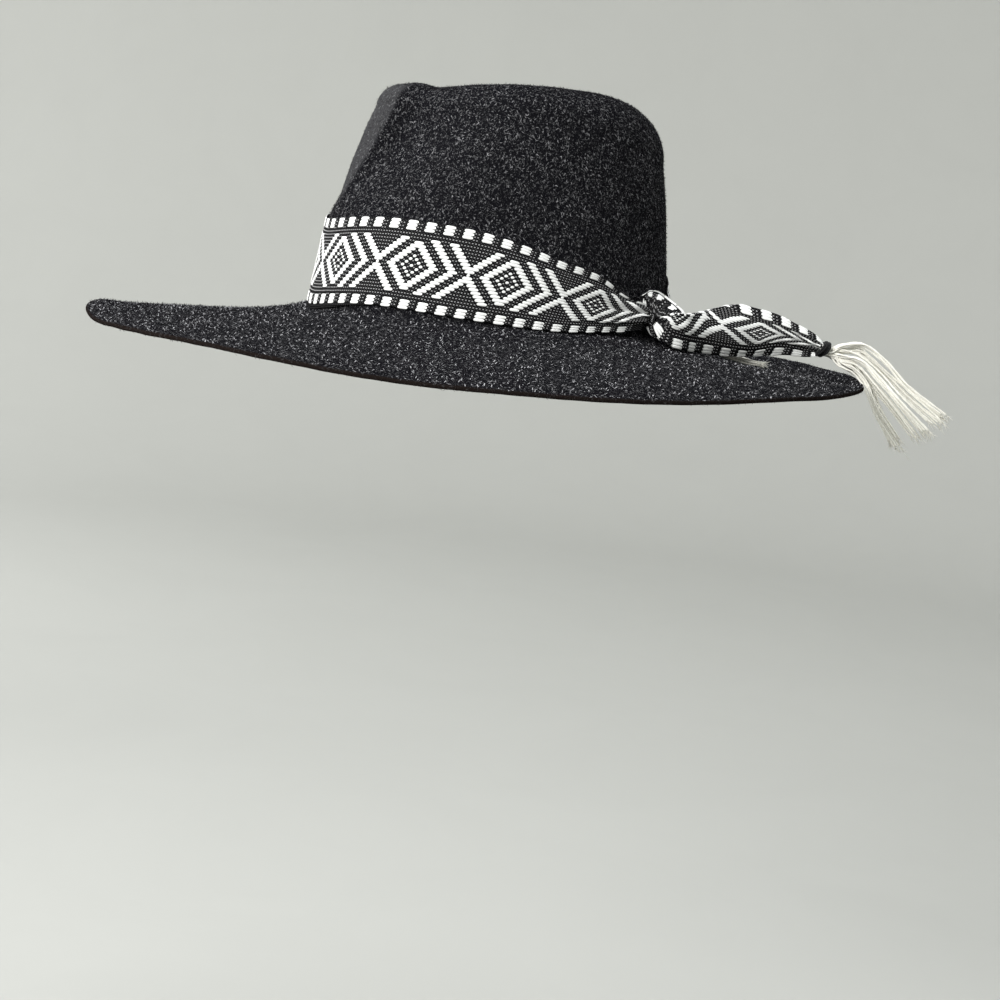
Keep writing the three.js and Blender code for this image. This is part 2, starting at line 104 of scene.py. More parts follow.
# Woven band: its cut, its rows and picks, and the height of five of its rows round the crown
ROWS, ROW = 27, 5 / 3
PICK, REPEAT = 1.65, 30
BAND_WIDTH = ROWS * ROW
BAND_GAP = 0.45
CLOTH_THICK = 0.7
CLOTH_FACE = 0.9
KNOT_ANGLE = 133.0
BAND_REACH = (-348.0, 203.0)
SKEW, SKEW_REACH = 12, 70  # how the cloth's far edge runs ahead toward the knot
FIGURE_SHIFT, FRONT_SHIFT, FRONT_REACH = 0.8, 2.6, 25  # where the figure lies along the band
KNOT_BULGE, FOLD_DEPTH, TUCK_DEPTH, TUCK_WIDTH = 5.5, 0.6, 1.5, 2.2
# How far the black cloth reaches below the figure at the front: partly selvedge, partly painted shade.
SELVEDGE_AND_SHADE_STRIP = 2.3
BAND_ROWS = {
    "angle": (0, 14, 40, 65, 77, 86, 94, 99, 104, 108, 112, 118, 125, 133, 141, 150, 165, 185, 215,
              320, 360),
    "low": (2.6, 3.9, 4.2, 2.4, 1.5, 0.9, 0.8, 1.1, 1.6, 2.1, 2.4, 3.2, 5.5, 6.5, 5.5, 3.2, 1.8, 1.6,
            2.2, 2.6, 2.6),
    "seam": (11.9, 12.5, 12.3, 10.3, 9.2, 8.0, 6.9, 6.9, 6.8, 7.0, 7.2, 8.0, 9.5, 10, 9.5, 8.5, 8.5,
             9.5, 10.4, 11.2, 11.9),
    "middle": (26.1, 26.8, 26.5, 24.4, 22.8, 20.6, 18.2, 17.1, 16.0, 15.1, 14.1, 13.7, 13.4, 13, 13.4,
               15.0, 19.0, 23.5, 24.6, 25.5, 26.1),
    "border": (43.6, 44.2, 44.1, 42.2, 39.3, 36.0, 32.3, 30.8, 29.0, 27.4, 24.6, 20.4, 17.5, 16, 17.5,
               24.0, 32.0, 40.0, 42.2, 43.2, 43.6),
    "high": (48.6, 49.2, 49.1, 47.2, 43.8, 40.0, 35.9, 34.4, 32.4, 30.3, 26.9, 21.4, 18.5, 17, 18.5,
             26.0, 35.5, 44.0, 47.2, 48.2, 48.6),
}
SEAM_AT, BORDER_AT = 5 * ROW, 24 * ROW

# Woven figure, in picks along a repeat from a crossing, and in rows from the middle of the field
ARM_HALF = 1.5
FIELD_ROWS, DIAMOND_ROWS, BORDER_ROWS = 8, 7, (11, 12, 13)
DIAMOND_AT, DIAMOND_MIDDLE, CHEVRON_AT = 12, 7, 25
SQUARE_REPEAT, SQUARE = 6, (0.25, 3.55)
DOT_HALF, DOT_WIDTH = 0.55 * PICK, 0.86 * ROW
SPECK_HALF, SPECK_WIDTH = 0.42, 0.62
FLOAT_RISE, SPECK_RISE = 0.42, 0.25

# Tails: centre line, height of the folded leaf, its cup, and the part of the width that shows
FRONT_TAIL = {
    "x": (79.1, 81.2, 82.7, 82.4, 80.0, 76.9, 74.2, 73.0, 72.6, 72.4, 72.4, 72.6, 72.8, 73.0, 73.1),
    "y": (64.0, 66.9, 71.4, 77.5, 83.2, 88.0, 96.0, 104.0, 115.0, 126.0, 138.0, 150.0, 160.0, 165.0, 169.8),
    "z": (10.6, 8.9, 6.8, 5.8, 5.4, 5.4, 5.8, 7.0, 8.5, 9.2, 8.7, 6.8, 5.0, 4.0, 2.9),
    "tall": (5.5, 12.0, 16.4, 17.6, 18.4, 19.4, 21.5, 23.4, 26.0, 25.5, 22.3, 18.0, 14.6, 11.2, 5.6),
    "cup": (0.3, 0.6, 0.9, 1.0, 1.4, 2.0, 3.0, 4.2, 5.4, 5.4, 4.6, 3.2, 1.8, 0.8, 0.4),
    "low": (0, 0, 0, 0, 0, 0, 0, 1, 2, 3, 1.6, 0, 0, 0, 0),
    "high": (22, 22, 22, 22, 22.5, 22.5, 24, 33.5, 42, 45, 45, 45, 45, 45, 45),
}
BACK_TAIL = {
    "x": (66.5, 64.6, 63.0, 62.0, 61.2, 60.6, 60.2),
    "y": (82.0, 86.0, 91.0, 95.0, 99.5, 104.0, 109.0),
    "lift": (8.0, 6.6, 6.2, 6.2, 5.9, 5.5, 5.2),
    "tall": (7.0, 9.0, 10.2, 10.5, 8.6, 5.2, 4.8),
    "cup": (0.6, 1.2, 1.5, 1.6, 1.2, 0.8, 0.4),
    "low": (6, 4, 2, 0, 0, 0, 0),
    "high": (36, 34, 32, 36, 45, 45, 45),
}
TAIL_SLACK = 0.86
FOLD_RADIUS = 1.1
FRONT_TAIL_DIAMOND, BACK_TAIL_DIAMOND = 68.6, 20.0
WHIP_LENGTH = 6.5
WHIP_RADIUS = 3.9
WHIP_THREAD = 0.85
WHIP_LAYERS = (9, -0.6, 1.0), (6, -0.1, -0.7), (4, 0.4, 0.45)  # turns, height, share of the length

# Tassel locks: middle points from the whipping to the tip
FRONT_LOCKS = (
    ((75.5, 179.8, 5.1), (79, 191.5, 6.7), (84, 204.0, -1.8), (89, 217.1, -14.2), (94, 239.2, -28.3)),
    ((74.5, 180.8, 2.5), (77.5, 191.2, 2.6), (82, 204.8, -7.0), (88, 217.0, -17.1), (95, 237.1, -31.1)),
    ((77.5, 179.3, 1.1), (83, 188.3, -0.3), (87.5, 200.4, -8.9), (93, 212.4, -20.1), (98, 229.1, -34.5)),
    ((76.5, 179.5, -0.7), (82, 188.1, -3.2), (86.5, 197.6, -11.4), (90, 210.2, -22.9),
     (94.5, 226.4, -39.1)),
    ((74.5, 180.9, -1.9), (77.5, 189.9, -5.3), (81.5, 199.1, -13.6), (85, 210.6, -25.3),
     (89.5, 225.1, -39.4)),
    ((76.5, 179.3, -2.9), (80.5, 187.1, -6.8), (84.5, 193.9, -14.2), (87, 200.4, -25.7),
     (90.5, 215.5, -43.8)),
    ((74, 180.3, -4.0), (76.5, 188.5, -7.4), (80, 197.9, -13.3), (83, 202.0, -25.7), (86.5, 213.2, -45.5)),
)
BACK_LOCK_ACROSS = (-5, 0, 5)
BUNDLE_RADIUS = 2.6
PLIES, PLY_TWIST, PLY_DEPTH = 2, 3.2, 0.2
STRAND_STEPS, TIP_HAIRS = 64, 9

# Knot: half sizes of the lump along the band, outward and up, and the funnel of cloth round it
KNOT_OUT, KNOT_UP, KNOT_ALONG = 10.4, 13.4, 12.6
KNOT_HEIGHT = 12.4
KNOT_LIFT = 10.7
KNOT_INWARD = -7.5
KNOT_LOOP = {  # free edge of the loop: outward, along the band and up, by the turn from outward
    "turn": (-180, -150, -120, -90, -60, -30, 0, 30, 60, 90, 120, 150, 180),
    "out": (-7.5, -7.5, -5.0, -1.0, 5.0, 9.0, 10.0, 8.6, 4.0, -1.8, -5.0, -7.0, -7.5),
    "along": (-18.2, -15.0, -8.0, -3.0, 0.0, 2.0, 2.5, 2.5, 2.5, 2.0, -3.0, -10.0, -18.2),
    "up": (10.4, -2.0, -9.0, -12.6, -11.6, -7.5, -2.0, 3.2, 6.6, 9.8, 12.6, 13.0, 10.4),
}
KNOT_THROAT_UP = -1.5
KNOT_ROUND = 79.2
KNOT_RIM = 3.3
KNOT_PLEATS, PLEAT_DEPTH = 9, 0.14
EDGE_SQUARE = 8.8
FUNNEL_WIDTH = 12.5

# View and stage, in degrees, metres and pixels of a 1000 x 1000 picture
VIEW = {"azimuth": 70.0, "elevation": 3.49, "roll": 6.36, "distance": 1.0, "lens": 64.44}
SENSOR = 36.0
PICTURE = 1000
ORIGIN_PIXEL = (490.28, 316.22)


def colour_setting(name, description, default):
    return FloatVectorProperty(
        name=name, description=description, subtype="COLOR", size=3, min=0, max=1, default=default)


def number_setting(name, description, low, high, default, unit="NONE"):
    return FloatProperty(
        name=name, description=description, min=low, max=high, default=default, unit=unit)


def count_setting(name, description, low, high, default):
    return IntProperty(name=name, description=description, min=low, max=high, default=default)


class FeltSettings(bpy.types.PropertyGroup):
    ground: colour_setting(
        "Felt colour", "Dark wool that most of the felt is made of", (0.0052, 0.0052, 0.0066))
    fleck: colour_setting("Fleck colour", "Pale wool mixed into the felt", (0.15, 0.15, 0.158))
    cut_edge: colour_setting(
        "Cut edge colour", "Scorched brown of the brim's cut edge", (0.012, 0.0085, 0.007))
    nap_length: number_setting(
        "Nap length", "Length of the loose surface fibres", 0.0003, 0.006, 0.0016, "LENGTH")
    nap_fibres: count_setting(
        "Nap fibres", "Loose fibres on the crown, and as many on the brim", 100, 49000, 48000)


class BandSettings(bpy.types.PropertyGroup):
    ground: colour_setting(
        "Ground yarn", "Black yarn of the band's ground cloth", (0.0070, 0.0070, 0.0080))
    figure: colour_setting("Figure yarn", "White yarn of the woven figure", (0.87, 0.88, 0.875))
    speck: colour_setting(
        "Speck yarn", "Pale ends that show between the black rows", (0.36, 0.36, 0.365))
    float_rise: number_setting(
        "Float height", "How far the white yarn stands over the ground cloth",
        0.0001, 0.001, FLOAT_RISE * MM, "LENGTH")


class TasselSettings(bpy.types.PropertyGroup):
    cotton: colour_setting(
        "Cotton colour", "Undyed plied cotton of the tassels", (0.88, 0.865, 0.80))
    thread: colour_setting(
        "Whipping colour", "Black thread wound round the tail ends", (0.007, 0.007, 0.008))
    strand_thick: number_setting(
        "Strand thickness", "Thickness of one plied strand", 0.0005, 0.003, 0.00118, "LENGTH")
    strands: count_setting(
        "Strands in a lock", "Strands that follow each lock of the tassel", 1, 9, 7)


class StageSettings(bpy.types.PropertyGroup):
    floor: colour_setting("Stage colour", "Pale floor and wall", (0.48, 0.485, 0.468))
    floor_drop: number_setting(
        "Floor depth", "How far the floor lies under the head opening", 0.05, 2, 0.6, "LENGTH")
    key_power: number_setting(
        "Key light", "Power of the large soft light from the left", 0, 500, 95, "POWER")
    top_power: number_setting("Top light", "Power of the soft light overhead", 0, 500, 30, "POWER")
    front_power: number_setting(
        "Front light", "Power of the soft light on the front of the crown", 0, 500, 20, "POWER")
    wall_power: number_setting(
        "Wall light", "Power of the soft light on the wall behind the hat", 0, 500, 25, "POWER")
    sky: number_setting("Room light", "Strength of the even light from all round", 0, 5, 1.0)


def settings():
    scene = bpy.context.scene
    return scene.hat_felt, scene.hat_band, scene.hat_tassel, scene.hat_stage


def smooth(value, low, high):
    t = np.clip((value - low) / (high - low), 0, 1)
    return t * t * (3 - 2 * t)


def column(table, key, name, at):
    """The named column of a table where its key is `at`, with an even cubic between its rows."""
    keys, values = np.array(table[key], float), np.array(table[name], float)
    rows = np.arange(len(keys))
    before, after = np.maximum(rows - 1, 0), np.minimum(rows + 1, len(keys) - 1)
    slope = (values[after] - values[before]) / (keys[after] - keys[before])
    i = np.clip(np.searchsorted(keys, at, side="left") - 1, 0, len(keys) - 2)
    span = keys[i + 1] - keys[i]
    t = np.clip((at - keys[i]) / span, 0, 1)
    t2, t3 = t * t, t * t * t
    return ((2 * t3 - 3 * t2 + 1) * values[i] + (t3 - 2 * t2 + t) * span * slope[i]
            + (3 * t2 - 2 * t3) * values[i + 1] + (t3 - t2) * span * slope[i + 1])


def wave(name, angle):
    return sum(part * np.cos(k * angle) for k, part in enumerate(WAVES[name]))


def unit(vectors):
    return vectors / np.maximum(np.linalg.norm(vectors, axis=-1, keepdims=True), 1e-12)


def run_along(points):
    """Distance along a line of points, from its first."""
    return np.concatenate([[0], np.cumsum(np.linalg.norm(np.diff(points, axis=0), axis=1))])


def from_front(angle):
    """Degrees from the front, the wearer's left being positive."""
    return np.degrees(np.arctan2(np.sin(angle), np.cos(angle)))


def front_offset(angle):
    """Degrees from the front, on either side."""
    return np.abs(from_front(angle))


def outward(angle):
    return unit(np.stack([np.sin(angle) / FOOT_SIDE, -np.cos(angle) / FOOT_REAR, 0 * angle], -1))


def pinch(angle, z):
    """How far the front pinch draws the wall in."""
    off = front_offset(angle)
    crease = column(PINCH, "z", "crease", z)
    depth = np.where(z < PINCH["z"][0], 0, column(PINCH, "z", "depth", z))
    full = crease + DENT_FALL
    ramp = np.sin(math.pi / 2 * np.clip((off - crease) / DENT_FALL, 0, 1))
    return depth * ramp * (1 - smooth(off, full + 4, DENT_END))


def pressed_and_sheen(points):
    """Share of the ridge between the two front dents, where the nap is thinned and the colour gets a
    painted sheen.
    """
    x, y, z = (points[..., k] for k in range(3))
    aside = np.abs(x) / column(CROWN_LEVELS, "z", "side", z)
    ahead = -y / column(CROWN_LEVELS, "z", "front", z)
    off = np.degrees(np.arctan2(aside, ahead)) - column(PINCH, "z", "crease", z)
    reach = smooth(z, 50, 62) * (1 - smooth(z, 114, 123)) * smooth(np.hypot(aside, ahead), 0.78, 0.98)
    return reach * (1 - smooth(off, -1.5, 0.6))


def foot_height(angle):
    return -FOOT_DIP * np.cos(angle) ** DIP_SHARPNESS


def crest_height(angle):
    return wave("crest_height", angle) + NOSE_RISE * (1 - smooth(front_offset(angle), 12, 22))


def wall_point(angle, z, pinched=1.0):
    """Outer face of the crown's wall."""
    angle, z = np.broadcast_arrays(np.asarray(angle, float), np.asarray(z, float))
    side = column(CROWN_LEVELS, "z", "side", z)
    front, rear = (column(CROWN_LEVELS, "z", name, z) for name in ("front", "rear"))
    length = np.where(np.cos(angle) > 0, front, rear)
    point = np.stack([side * np.sin(angle), -length * np.cos(angle), z], -1)
    return point - outward(angle) * (pinch(angle, z) * pinched)[..., None]


def shoulder_point(angle, share, pinched=1.0):
    """Shoulder from the wall (0) over to the crest (1)."""
    drop, inset = wave("shoulder_drop", angle), wave("shoulder_inset", angle)
    crest = crest_height(angle)
    turn = share * math.pi / 2
    point = wall_point(angle, crest - drop, pinched)
    point -= outward(angle) * (inset * (1 - math.cos(turn)))[:, None]
    point[:, 2] = crest - drop * (1 - math.sin(turn))
    return point


def top_point(angle, share):
    """Hollow of the top, from its centre (0) to the crest (1)."""
    crest = shoulder_point(angle, 1.0, share ** 4)
    narrow = 1 - TOP_POINT * (1 - share ** 3) * np.maximum(np.cos(angle), 0) ** 2
    x = crest[:, 0] * share * narrow
    y = TOP_BACK + (crest[:, 1] - TOP_BACK) * share
    mean = WAVES["crest_height"][0]
    rim = mean + (crest[:, 2] - mean) * share * share
    return np.stack([x, y, rim - TOP_DEPTH / 2 * (1 + np.cos(math.pi * share ** 1.15))], -1)


def fillet_point(angle, share):
    turn = share * math.pi / 2
    point = wall_point(angle, 0 * angle) + outward(angle) * FOOT_FILLET * (1 - math.cos(turn))
    point[..., 2] = foot_height(angle) + FOOT_FILLET * (1 - math.sin(turn))
    return point


def brim_point(angle, out):
    """Upper face of the brim, from the crown's foot (0) to the edge (1)."""
    foot = fillet_point(angle, 1.0)
    x = foot[..., 0] + (BRIM_HALF_WIDTH * np.sin(angle) - foot[..., 0]) * out
    y = foot[..., 1] + (BRIM_SHIFT - BRIM_HALF_LENGTH * np.cos(angle) - foot[..., 1]) * out
    drop = column(BRIM_SECTION, "out", "drop", out)
    z = foot[..., 2] + (wave("brim_edge", angle) - foot[..., 2]) * drop
    z = z + column(EDGE_WAVE, "angle", "rise", from_front(angle)) * smooth(out, 0.84, 1.0) ** 1.5
    z = z - FAR_DROOP * smooth(-np.sin(angle), 0.35, 0.85) * smooth(out, 0.0, 0.35)
    return np.stack([x, y, z + wave("brim_bow", angle) * 4 * out * (1 - out)], -1)


def brim_height(x, y):
    """Height of the brim's upper face at places in plan."""
    x, y = np.asarray(x, float), np.asarray(y, float)
    near, far = np.zeros_like(x), np.ones_like(x)
    for _ in range(24):
        out = (near + far) / 2
        wide = FOOT_SIDE + FOOT_FILLET + (BRIM_HALF_WIDTH - FOOT_SIDE - FOOT_FILLET) * out
        long = FOOT_REAR + FOOT_FILLET + (BRIM_HALF_LENGTH - FOOT_REAR - FOOT_FILLET) * out
        deep = y - BRIM_SHIFT * out
        beyond = (x / wide) ** 2 + (deep / long) ** 2 > 1
        near, far = np.where(beyond, out, near), np.where(beyond, far, out)
    return brim_point(np.arctan2(x / wide, -deep / long), near)[..., 2]


# Mesh building
def grid_faces(rows, columns, closed_rows=False, closed_columns=False):
    """Quads over a grid of points, row by row, wrapped where it is closed."""
    r = np.arange(rows if closed_rows else rows - 1)
    c = np.arange(columns if closed_columns else columns - 1)
    r, c = (a.ravel() for a in np.meshgrid(r, c, indexing="ij"))
    r2, c2 = (r + 1) % rows, (c + 1) % columns
    return np.stack([r * columns + c, r * columns + c2, r2 * columns + c2, r2 * columns + c], -1)


def bar_faces(rows, around, flipped=True):
    """Faces of a closed bar of points: quads round it, and one face at each end."""
    quads = grid_faces(rows, around, False, True)
    last = (rows - 1) * around
    ends = [list(range(around)), list(range(last + around - 1, last - 1, -1))]
    return (quads[:, ::-1] if flipped else quads).tolist() + ends


def add_object(name, data):
    made = bpy.data.objects.new(name, data)
    bpy.context.scene.collection.objects.link(made)
    return made


def make_piece(name, points, faces, material, node=None, slot=None, smooth_faces=True):
    """A mesh piece from points in millimetres; it rides on the hat's one body."""
    mesh = bpy.data.meshes.new(name)
    mesh.from_pydata((np.asarray(points).reshape(-1, 3) * MM).tolist(), [], [list(f) for f in faces])
    mesh.validate()
    mesh.materials.append(material)
    if smooth_faces:
        mesh.polygons.foreach_set("use_smooth", np.ones(len(mesh.polygons), bool))
    piece = add_object(name, mesh)
    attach(piece, "root")
    if node:
        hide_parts(node)
    return piece


def add_numbers(piece, name, values):
    """One number a point, for the piece's material to read."""
    layer = piece.data.attributes.new(name, "FLOAT", "POINT")
    layer.data.foreach_set("value", np.asarray(values, np.float32).ravel())


def surface_normal(surface, u, t, step=0.25):
    along = surface(u + step, t) - surface(u - step, t)
    across = surface(u, t + step) - surface(u, t - step)
    return unit(np.cross(along, across))


def over(surface, u, t, lift):
    """Points of a cloth surface, lifted along its own normal."""
    return surface(u, t) + surface_normal(surface, u, t) * np.asarray(lift)[..., None]


def cloth_piece(name, surface, u_range, t_range, steps, material, closed=False, **facts):
    """Ground cloth: two faces and their edges in one closed mesh, with its weave coordinates."""
    across = steps[1]
    u = np.linspace(*u_range, steps[0] + (0 if closed else 1), endpoint=not closed)
    share = np.linspace(0, 1, across + 1)
    low, high = (np.broadcast_to(np.asarray(f(u) if callable(f) else f, float), u.shape) for f in t_range)
    uu = np.repeat(u[:, None], across + 1, 1)
    tt = low[:, None] + (high - low)[:, None] * share
    face = over(surface, uu, tt, 0 * uu)
    back = over(surface, uu, tt, 0 * uu - CLOTH_THICK)
    loops = np.concatenate([face, back[:, ::-1]], 1)
    count = loops.shape[1]
    faces = grid_faces(len(u), count, True, True) if closed else bar_faces(len(u), count, False)
    piece = make_piece(name, loops, faces, material, **facts)
    for label, values in (("along", uu), ("across", tt)):
        add_numbers(piece, label, np.concatenate([values, values[:, ::-1]], 1))
    return piece


FLOAT_SHAPES = (  # longest span in mm, and the stations along it, their width and their rise
    (2.4, (0, 0.2, 0.5, 0.8, 1), (0.35, 0.9, 1, 0.9, 0.35), (0.1, 0.85, 1, 0.85, 0.1)),
    (6.5, (0, 0.12, 0.36, 0.64, 0.88, 1), (0.4, 0.93, 1, 1, 0.93, 0.4), (0.1, 0.85, 1, 1, 0.85, 0.1)),
    (99, (0, 0.05, 0.2, 0.35, 0.5, 0.65, 0.8, 0.95, 1), (0.5, 0.95, 1, 1, 1, 1, 1, 0.95, 0.5),
     (0.1, 0.85, 1, 1, 1, 1, 1, 0.85, 0.1)),
)
FLOAT_SECTION = ((-0.5, 0), (-0.47, 0.62), (-0.26, 1), (0, 0.8), (0.26, 1), (0.47, 0.62), (0.5, 0))
FLOAT_SINK = 0.1


def float_mesh(surface, spans, rise):
    """Yarn floats over a cloth surface: each a low closed bar with rounded ends."""
    points, faces, total = [], [], 0
    longest = 0.0
    offset, height = (np.array(c) for c in zip(*FLOAT_SECTION))
    for limit, place, wide, lift in FLOAT_SHAPES:
        size = spans[:, 1] - spans[:, 0]
        chosen = spans[(size > longest) & (size <= limit)]
        longest = limit
        if not len(chosen):
            continue
        place, wide, lift = (np.array(a, float)[None, :, None] for a in (place, wide, lift))
        u0, u1, middle, width = (chosen[:, k, None, None] for k in range(4))
        u = u0 + (u1 - u0) * place + 0 * offset
        t = middle + width * wide * offset
        h = np.broadcast_to(np.where(height > 0, height * lift * rise, -FLOAT_SINK), t.shape)
        p = over(surface, u, t, h)
        stations, corners = p.shape[1], p.shape[2]
        starts = (total + np.arange(len(chosen)) * stations * corners)[:, None, None]
        faces += (grid_faces(stations, corners, False, True) + starts).reshape(-1, 4).tolist()
        caps = np.array([range(corners), range(stations * corners - 1, (stations - 1) * corners - 1, -1)])
        faces += (caps + starts).reshape(-1, corners).tolist()
        points.append(p.reshape(-1, 3))
        total += len(chosen) * stations * corners
    return np.concatenate(points), faces


def row_middle(row):
    return (row + ROWS / 2) * ROW


def white_picks(row):
    """Where one repeat of a row is white, in picks."""
    d = abs(row)
    if d in BORDER_ROWS:
        return [(k + SQUARE[0], k + SQUARE[1]) for k in range(0, REPEAT, SQUARE_REPEAT)]
    if d > FIELD_ROWS:
        return []
    middles = [CHEVRON_AT - d]
    if row:
        middles += [d - 1, REPEAT + 1 - d]
    near, far = DIAMOND_MIDDLE - ARM_HALF - d, DIAMOND_MIDDLE + ARM_HALF - d
    white = [(m - ARM_HALF, m + ARM_HALF) for m in middles]
    if not row:
        white.append((-0.5, 0.5))
    if near > 0:
        white += [(DIAMOND_AT - far, DIAMOND_AT - near), (DIAMOND_AT + near, DIAMOND_AT + far)]
    elif d <= DIAMOND_ROWS:
        white.append((DIAMOND_AT - far, DIAMOND_AT + far))
    return white


def dot_picks(row):
    """Single white picks inside the diamond."""
    ring = 3 - abs(row)
    if ring < 0:
        return []
    return sorted({DIAMOND_AT - ring, DIAMOND_AT + ring} | ({DIAMOND_AT} if not row else set()))


def merged(spans):
    """Spans in order, with those that touch made one."""
    out = []
    for a, b in sorted(spans):
        if out and a <= out[-1][1] + 0.1:
            out[-1][1] = max(out[-1][1], b)
        else:
            out.append([a, b])
    return out


def repeats(u_from, u_to):
    long = PICK * REPEAT
    return range(math.floor(u_from / long) - 1, math.ceil(u_to / long) + 2)


def spans_within(spans, u_from, u_to):
    return np.array([s for s in spans if s[0] > u_from and s[1] < u_to])


def white_floats(u_from, u_to):
    """White floats of the figure, one a row: from, to, middle across, width in mm."""
    spans = []
    for row in range(-(ROWS // 2), ROWS // 2 + 1):
        picks = []
        for k in repeats(u_from, u_to):
            picks += [(a + k * REPEAT, b + k * REPEAT) for a, b in white_picks(row)]
        spans += [(a * PICK, b * PICK, row_middle(row), ROW) for a, b in merged(picks)]
        for k in repeats(u_from, u_to):
            for pick in dot_picks(row):
                middle = (pick + k * REPEAT) * PICK
                spans.append((middle - DOT_HALF, middle + DOT_HALF, row_middle(row), DOT_WIDTH))
    return spans_within(spans, u_from, u_to)


def pale_specks(u_from, u_to):
    """Pale ends between two black rows, at every pick: from, to, middle across, width in mm."""
    spans = []
    for row in range(-(ROWS // 2), ROWS // 2):
        both = white_picks(row) + white_picks(row + 1)
        both += [(p - 0.5, p + 0.5) for r in (row, row + 1) for p in dot_picks(r) if abs(r) <= FIELD_ROWS]
        both += [(a + REPEAT, b + REPEAT) for a, b in both] + [(a - REPEAT, b - REPEAT) for a, b in both]
        for pick in range(REPEAT):
            if any(a - 0.3 < pick < b + 0.3 for a, b in both):
                continue
            for k in repeats(u_from, u_to):
                middle = (pick + k * REPEAT) * PICK
                spans.append((middle - SPECK_HALF, middle + SPECK_HALF, row_middle(row + 0.5), SPECK_WIDTH))
    return spans_within(spans, u_from, u_to)


def crown_arc():
    """Distance round the crown at the band's middle, and the angle there, from the front."""
    angle = np.radians(np.linspace(-260, 180, 4401))
    line = wall_point(angle, 0 * angle + BAND_WIDTH / 2)
    arc = run_along(line)
    return arc - np.interp(0, angle, arc), angle


ARC, ARC_ANGLE = crown_arc()


def band_place(u, t):
    """Where cloth of the band lies round the crown: it is skewed more and more toward the knot."""
    u = np.asarray(u, float)
    skew = SKEW * (1 - np.exp(-np.maximum(u, 0) / SKEW_REACH)) * (t - BAND_WIDTH / 2) / (24 * ROW)
    shift = FIGURE_SHIFT + FRONT_SHIFT * np.exp(-(u / FRONT_REACH) ** 2)
    return np.interp(u + shift + skew, ARC, ARC_ANGLE)


def band_surface(u, t):
    """Outer face of the ground cloth round the crown."""
    angle = band_place(u, t)
    degrees = np.degrees(angle) % 360
    low, seam, middle, border, high = (
        column(BAND_ROWS, "angle", name, degrees) for name in ("low", "seam", "middle", "border", "high"))
    a, b, c = SEAM_AT, BAND_WIDTH / 2, BORDER_AT
    field = (seam * (t - b) * (t - c) / ((a - b) * (a - c))
             + middle * (t - a) * (t - c) / ((b - a) * (b - c))
             + border * (t - a) * (t - b) / ((c - a) * (c - b)))
    z = np.where(t < a, low + (seam - low) * t / a, field)
    z = np.where(t > c, border + (high - border) * (t - c) / (BAND_WIDTH - c), z)
    off = np.abs(degrees - KNOT_ANGLE)
    gathered = 1 - smooth(off, 12, 40)
    tuck = np.exp(-((t - a - TUCK_WIDTH) / TUCK_WIDTH) ** 2) - 0.6 * np.exp(-((t - a) / 0.8) ** 2)
    folds = FOLD_DEPTH - FOLD_DEPTH * np.cos(4 * math.pi * np.clip((t - a) / (c - a), 0, 1))
    lift = BAND_GAP + CLOTH_FACE + gathered * (TUCK_DEPTH * tuck + folds)
    lift = np.maximum(lift + KNOT_BULGE * (1 - smooth(off, 6, 19)), BAND_GAP + 0.8)
    return wall_point(angle, z + foot_height(angle)) + outward(angle) * lift[..., None]


def band_low(u):
    """Lower edge of the band's cloth: at the front it reaches lower in a black strip, partly the plain
    selvedge and partly painted shade under the band.
    """
    return -SELVEDGE_AND_SHADE_STRIP * (1 - smooth(np.abs(u), 15, 62))


def tail_table(table):
    """The tail's table with its run, the distance along its centre line."""
    table = dict(table)
    if "lift" in table:
        table["z"] = brim_height(table["x"], table["y"]) + np.array(table["lift"])
    line = np.stack([table["x"], table["y"], table["z"]], -1)
    table["run"] = run_along(line)
    return table


def tail_line(table, run):
    return np.stack([column(table, "run", name, run) for name in "xyz"], -1)


def tail_frame(table, run):
    """Centre, direction, outward side and upward axis of a tail."""
    ahead = unit(tail_line(table, run + 0.5) - tail_line(table, run - 0.5))
    side = unit(np.cross(ahead, np.array([0, 0, 1.0])))
    return tail_line(table, run), ahead, side, np.cross(side, ahead)


def tail_surface(table):
    """Cloth of a tail: its front leaf, and what is folded over behind it."""
    seam, field = SEAM_AT, BORDER_AT - SEAM_AT

    def surface(u, t):
        run = np.asarray(u) / TAIL_SLACK
        tall, cup, low, high = (column(table, "run", name, run) for name in ("tall", "cup", "low", "high"))
        centre, _, side, up = tail_frame(table, run)

        def border_part(a):
            return np.minimum(a, seam) + np.maximum(a - seam - field, 0)

        def field_part(a):
            return np.clip(a - seam, 0, field)

        borders = border_part(high) - border_part(low)
        weight = np.clip((tall - borders) / np.maximum(field_part(high) - field_part(low), 1), 0.3, 1)
        full = borders + weight * (field_part(high) - field_part(low))
        inside = np.clip(t, low, high)
        passed = border_part(inside) - border_part(low) + weight * (field_part(inside) - field_part(low))
        h = (passed / full - 0.5) * tall
        behind = 0 * h
        for past, way in ((np.maximum(t - high, 0), 1), (np.maximum(low - t, 0), -1)):
            turn = np.minimum(past / FOLD_RADIUS, math.pi)
            straight = np.minimum(np.maximum(past - math.pi * FOLD_RADIUS, 0), tall - 1.5)
            h = h + way * (FOLD_RADIUS * np.sin(turn) - straight)
            behind = behind + FOLD_RADIUS * (1 - np.cos(turn))
        share = np.clip(2 * h / tall, -1, 1)
        drawn = np.clip(1 - tall / 24, 0, 1)
        pleat = drawn * 1.9 * np.cos(2 * math.pi * (inside - low) / 13.0)
        lean = cup * (1 - share ** 2) - cup / 2 + pleat - behind
        return centre + up * h[..., None] + side * lean[..., None]

    return surface


def knot_axes():
    angle = np.array(math.radians(KNOT_ANGLE))
    out = outward(angle)
    along = np.array([-out[1], out[0], 0])
    centre = wall_point(angle, KNOT_HEIGHT) + out * KNOT_LIFT
    return centre, out, along


def knot_point(o, a, z):
    """A point at the knot, by how far it lies outward, along the band and up."""
    centre, out, along = knot_axes()
    return centre + out * o[..., None] + along * a[..., None] + np.stack([0 * z, 0 * z, z], -1)


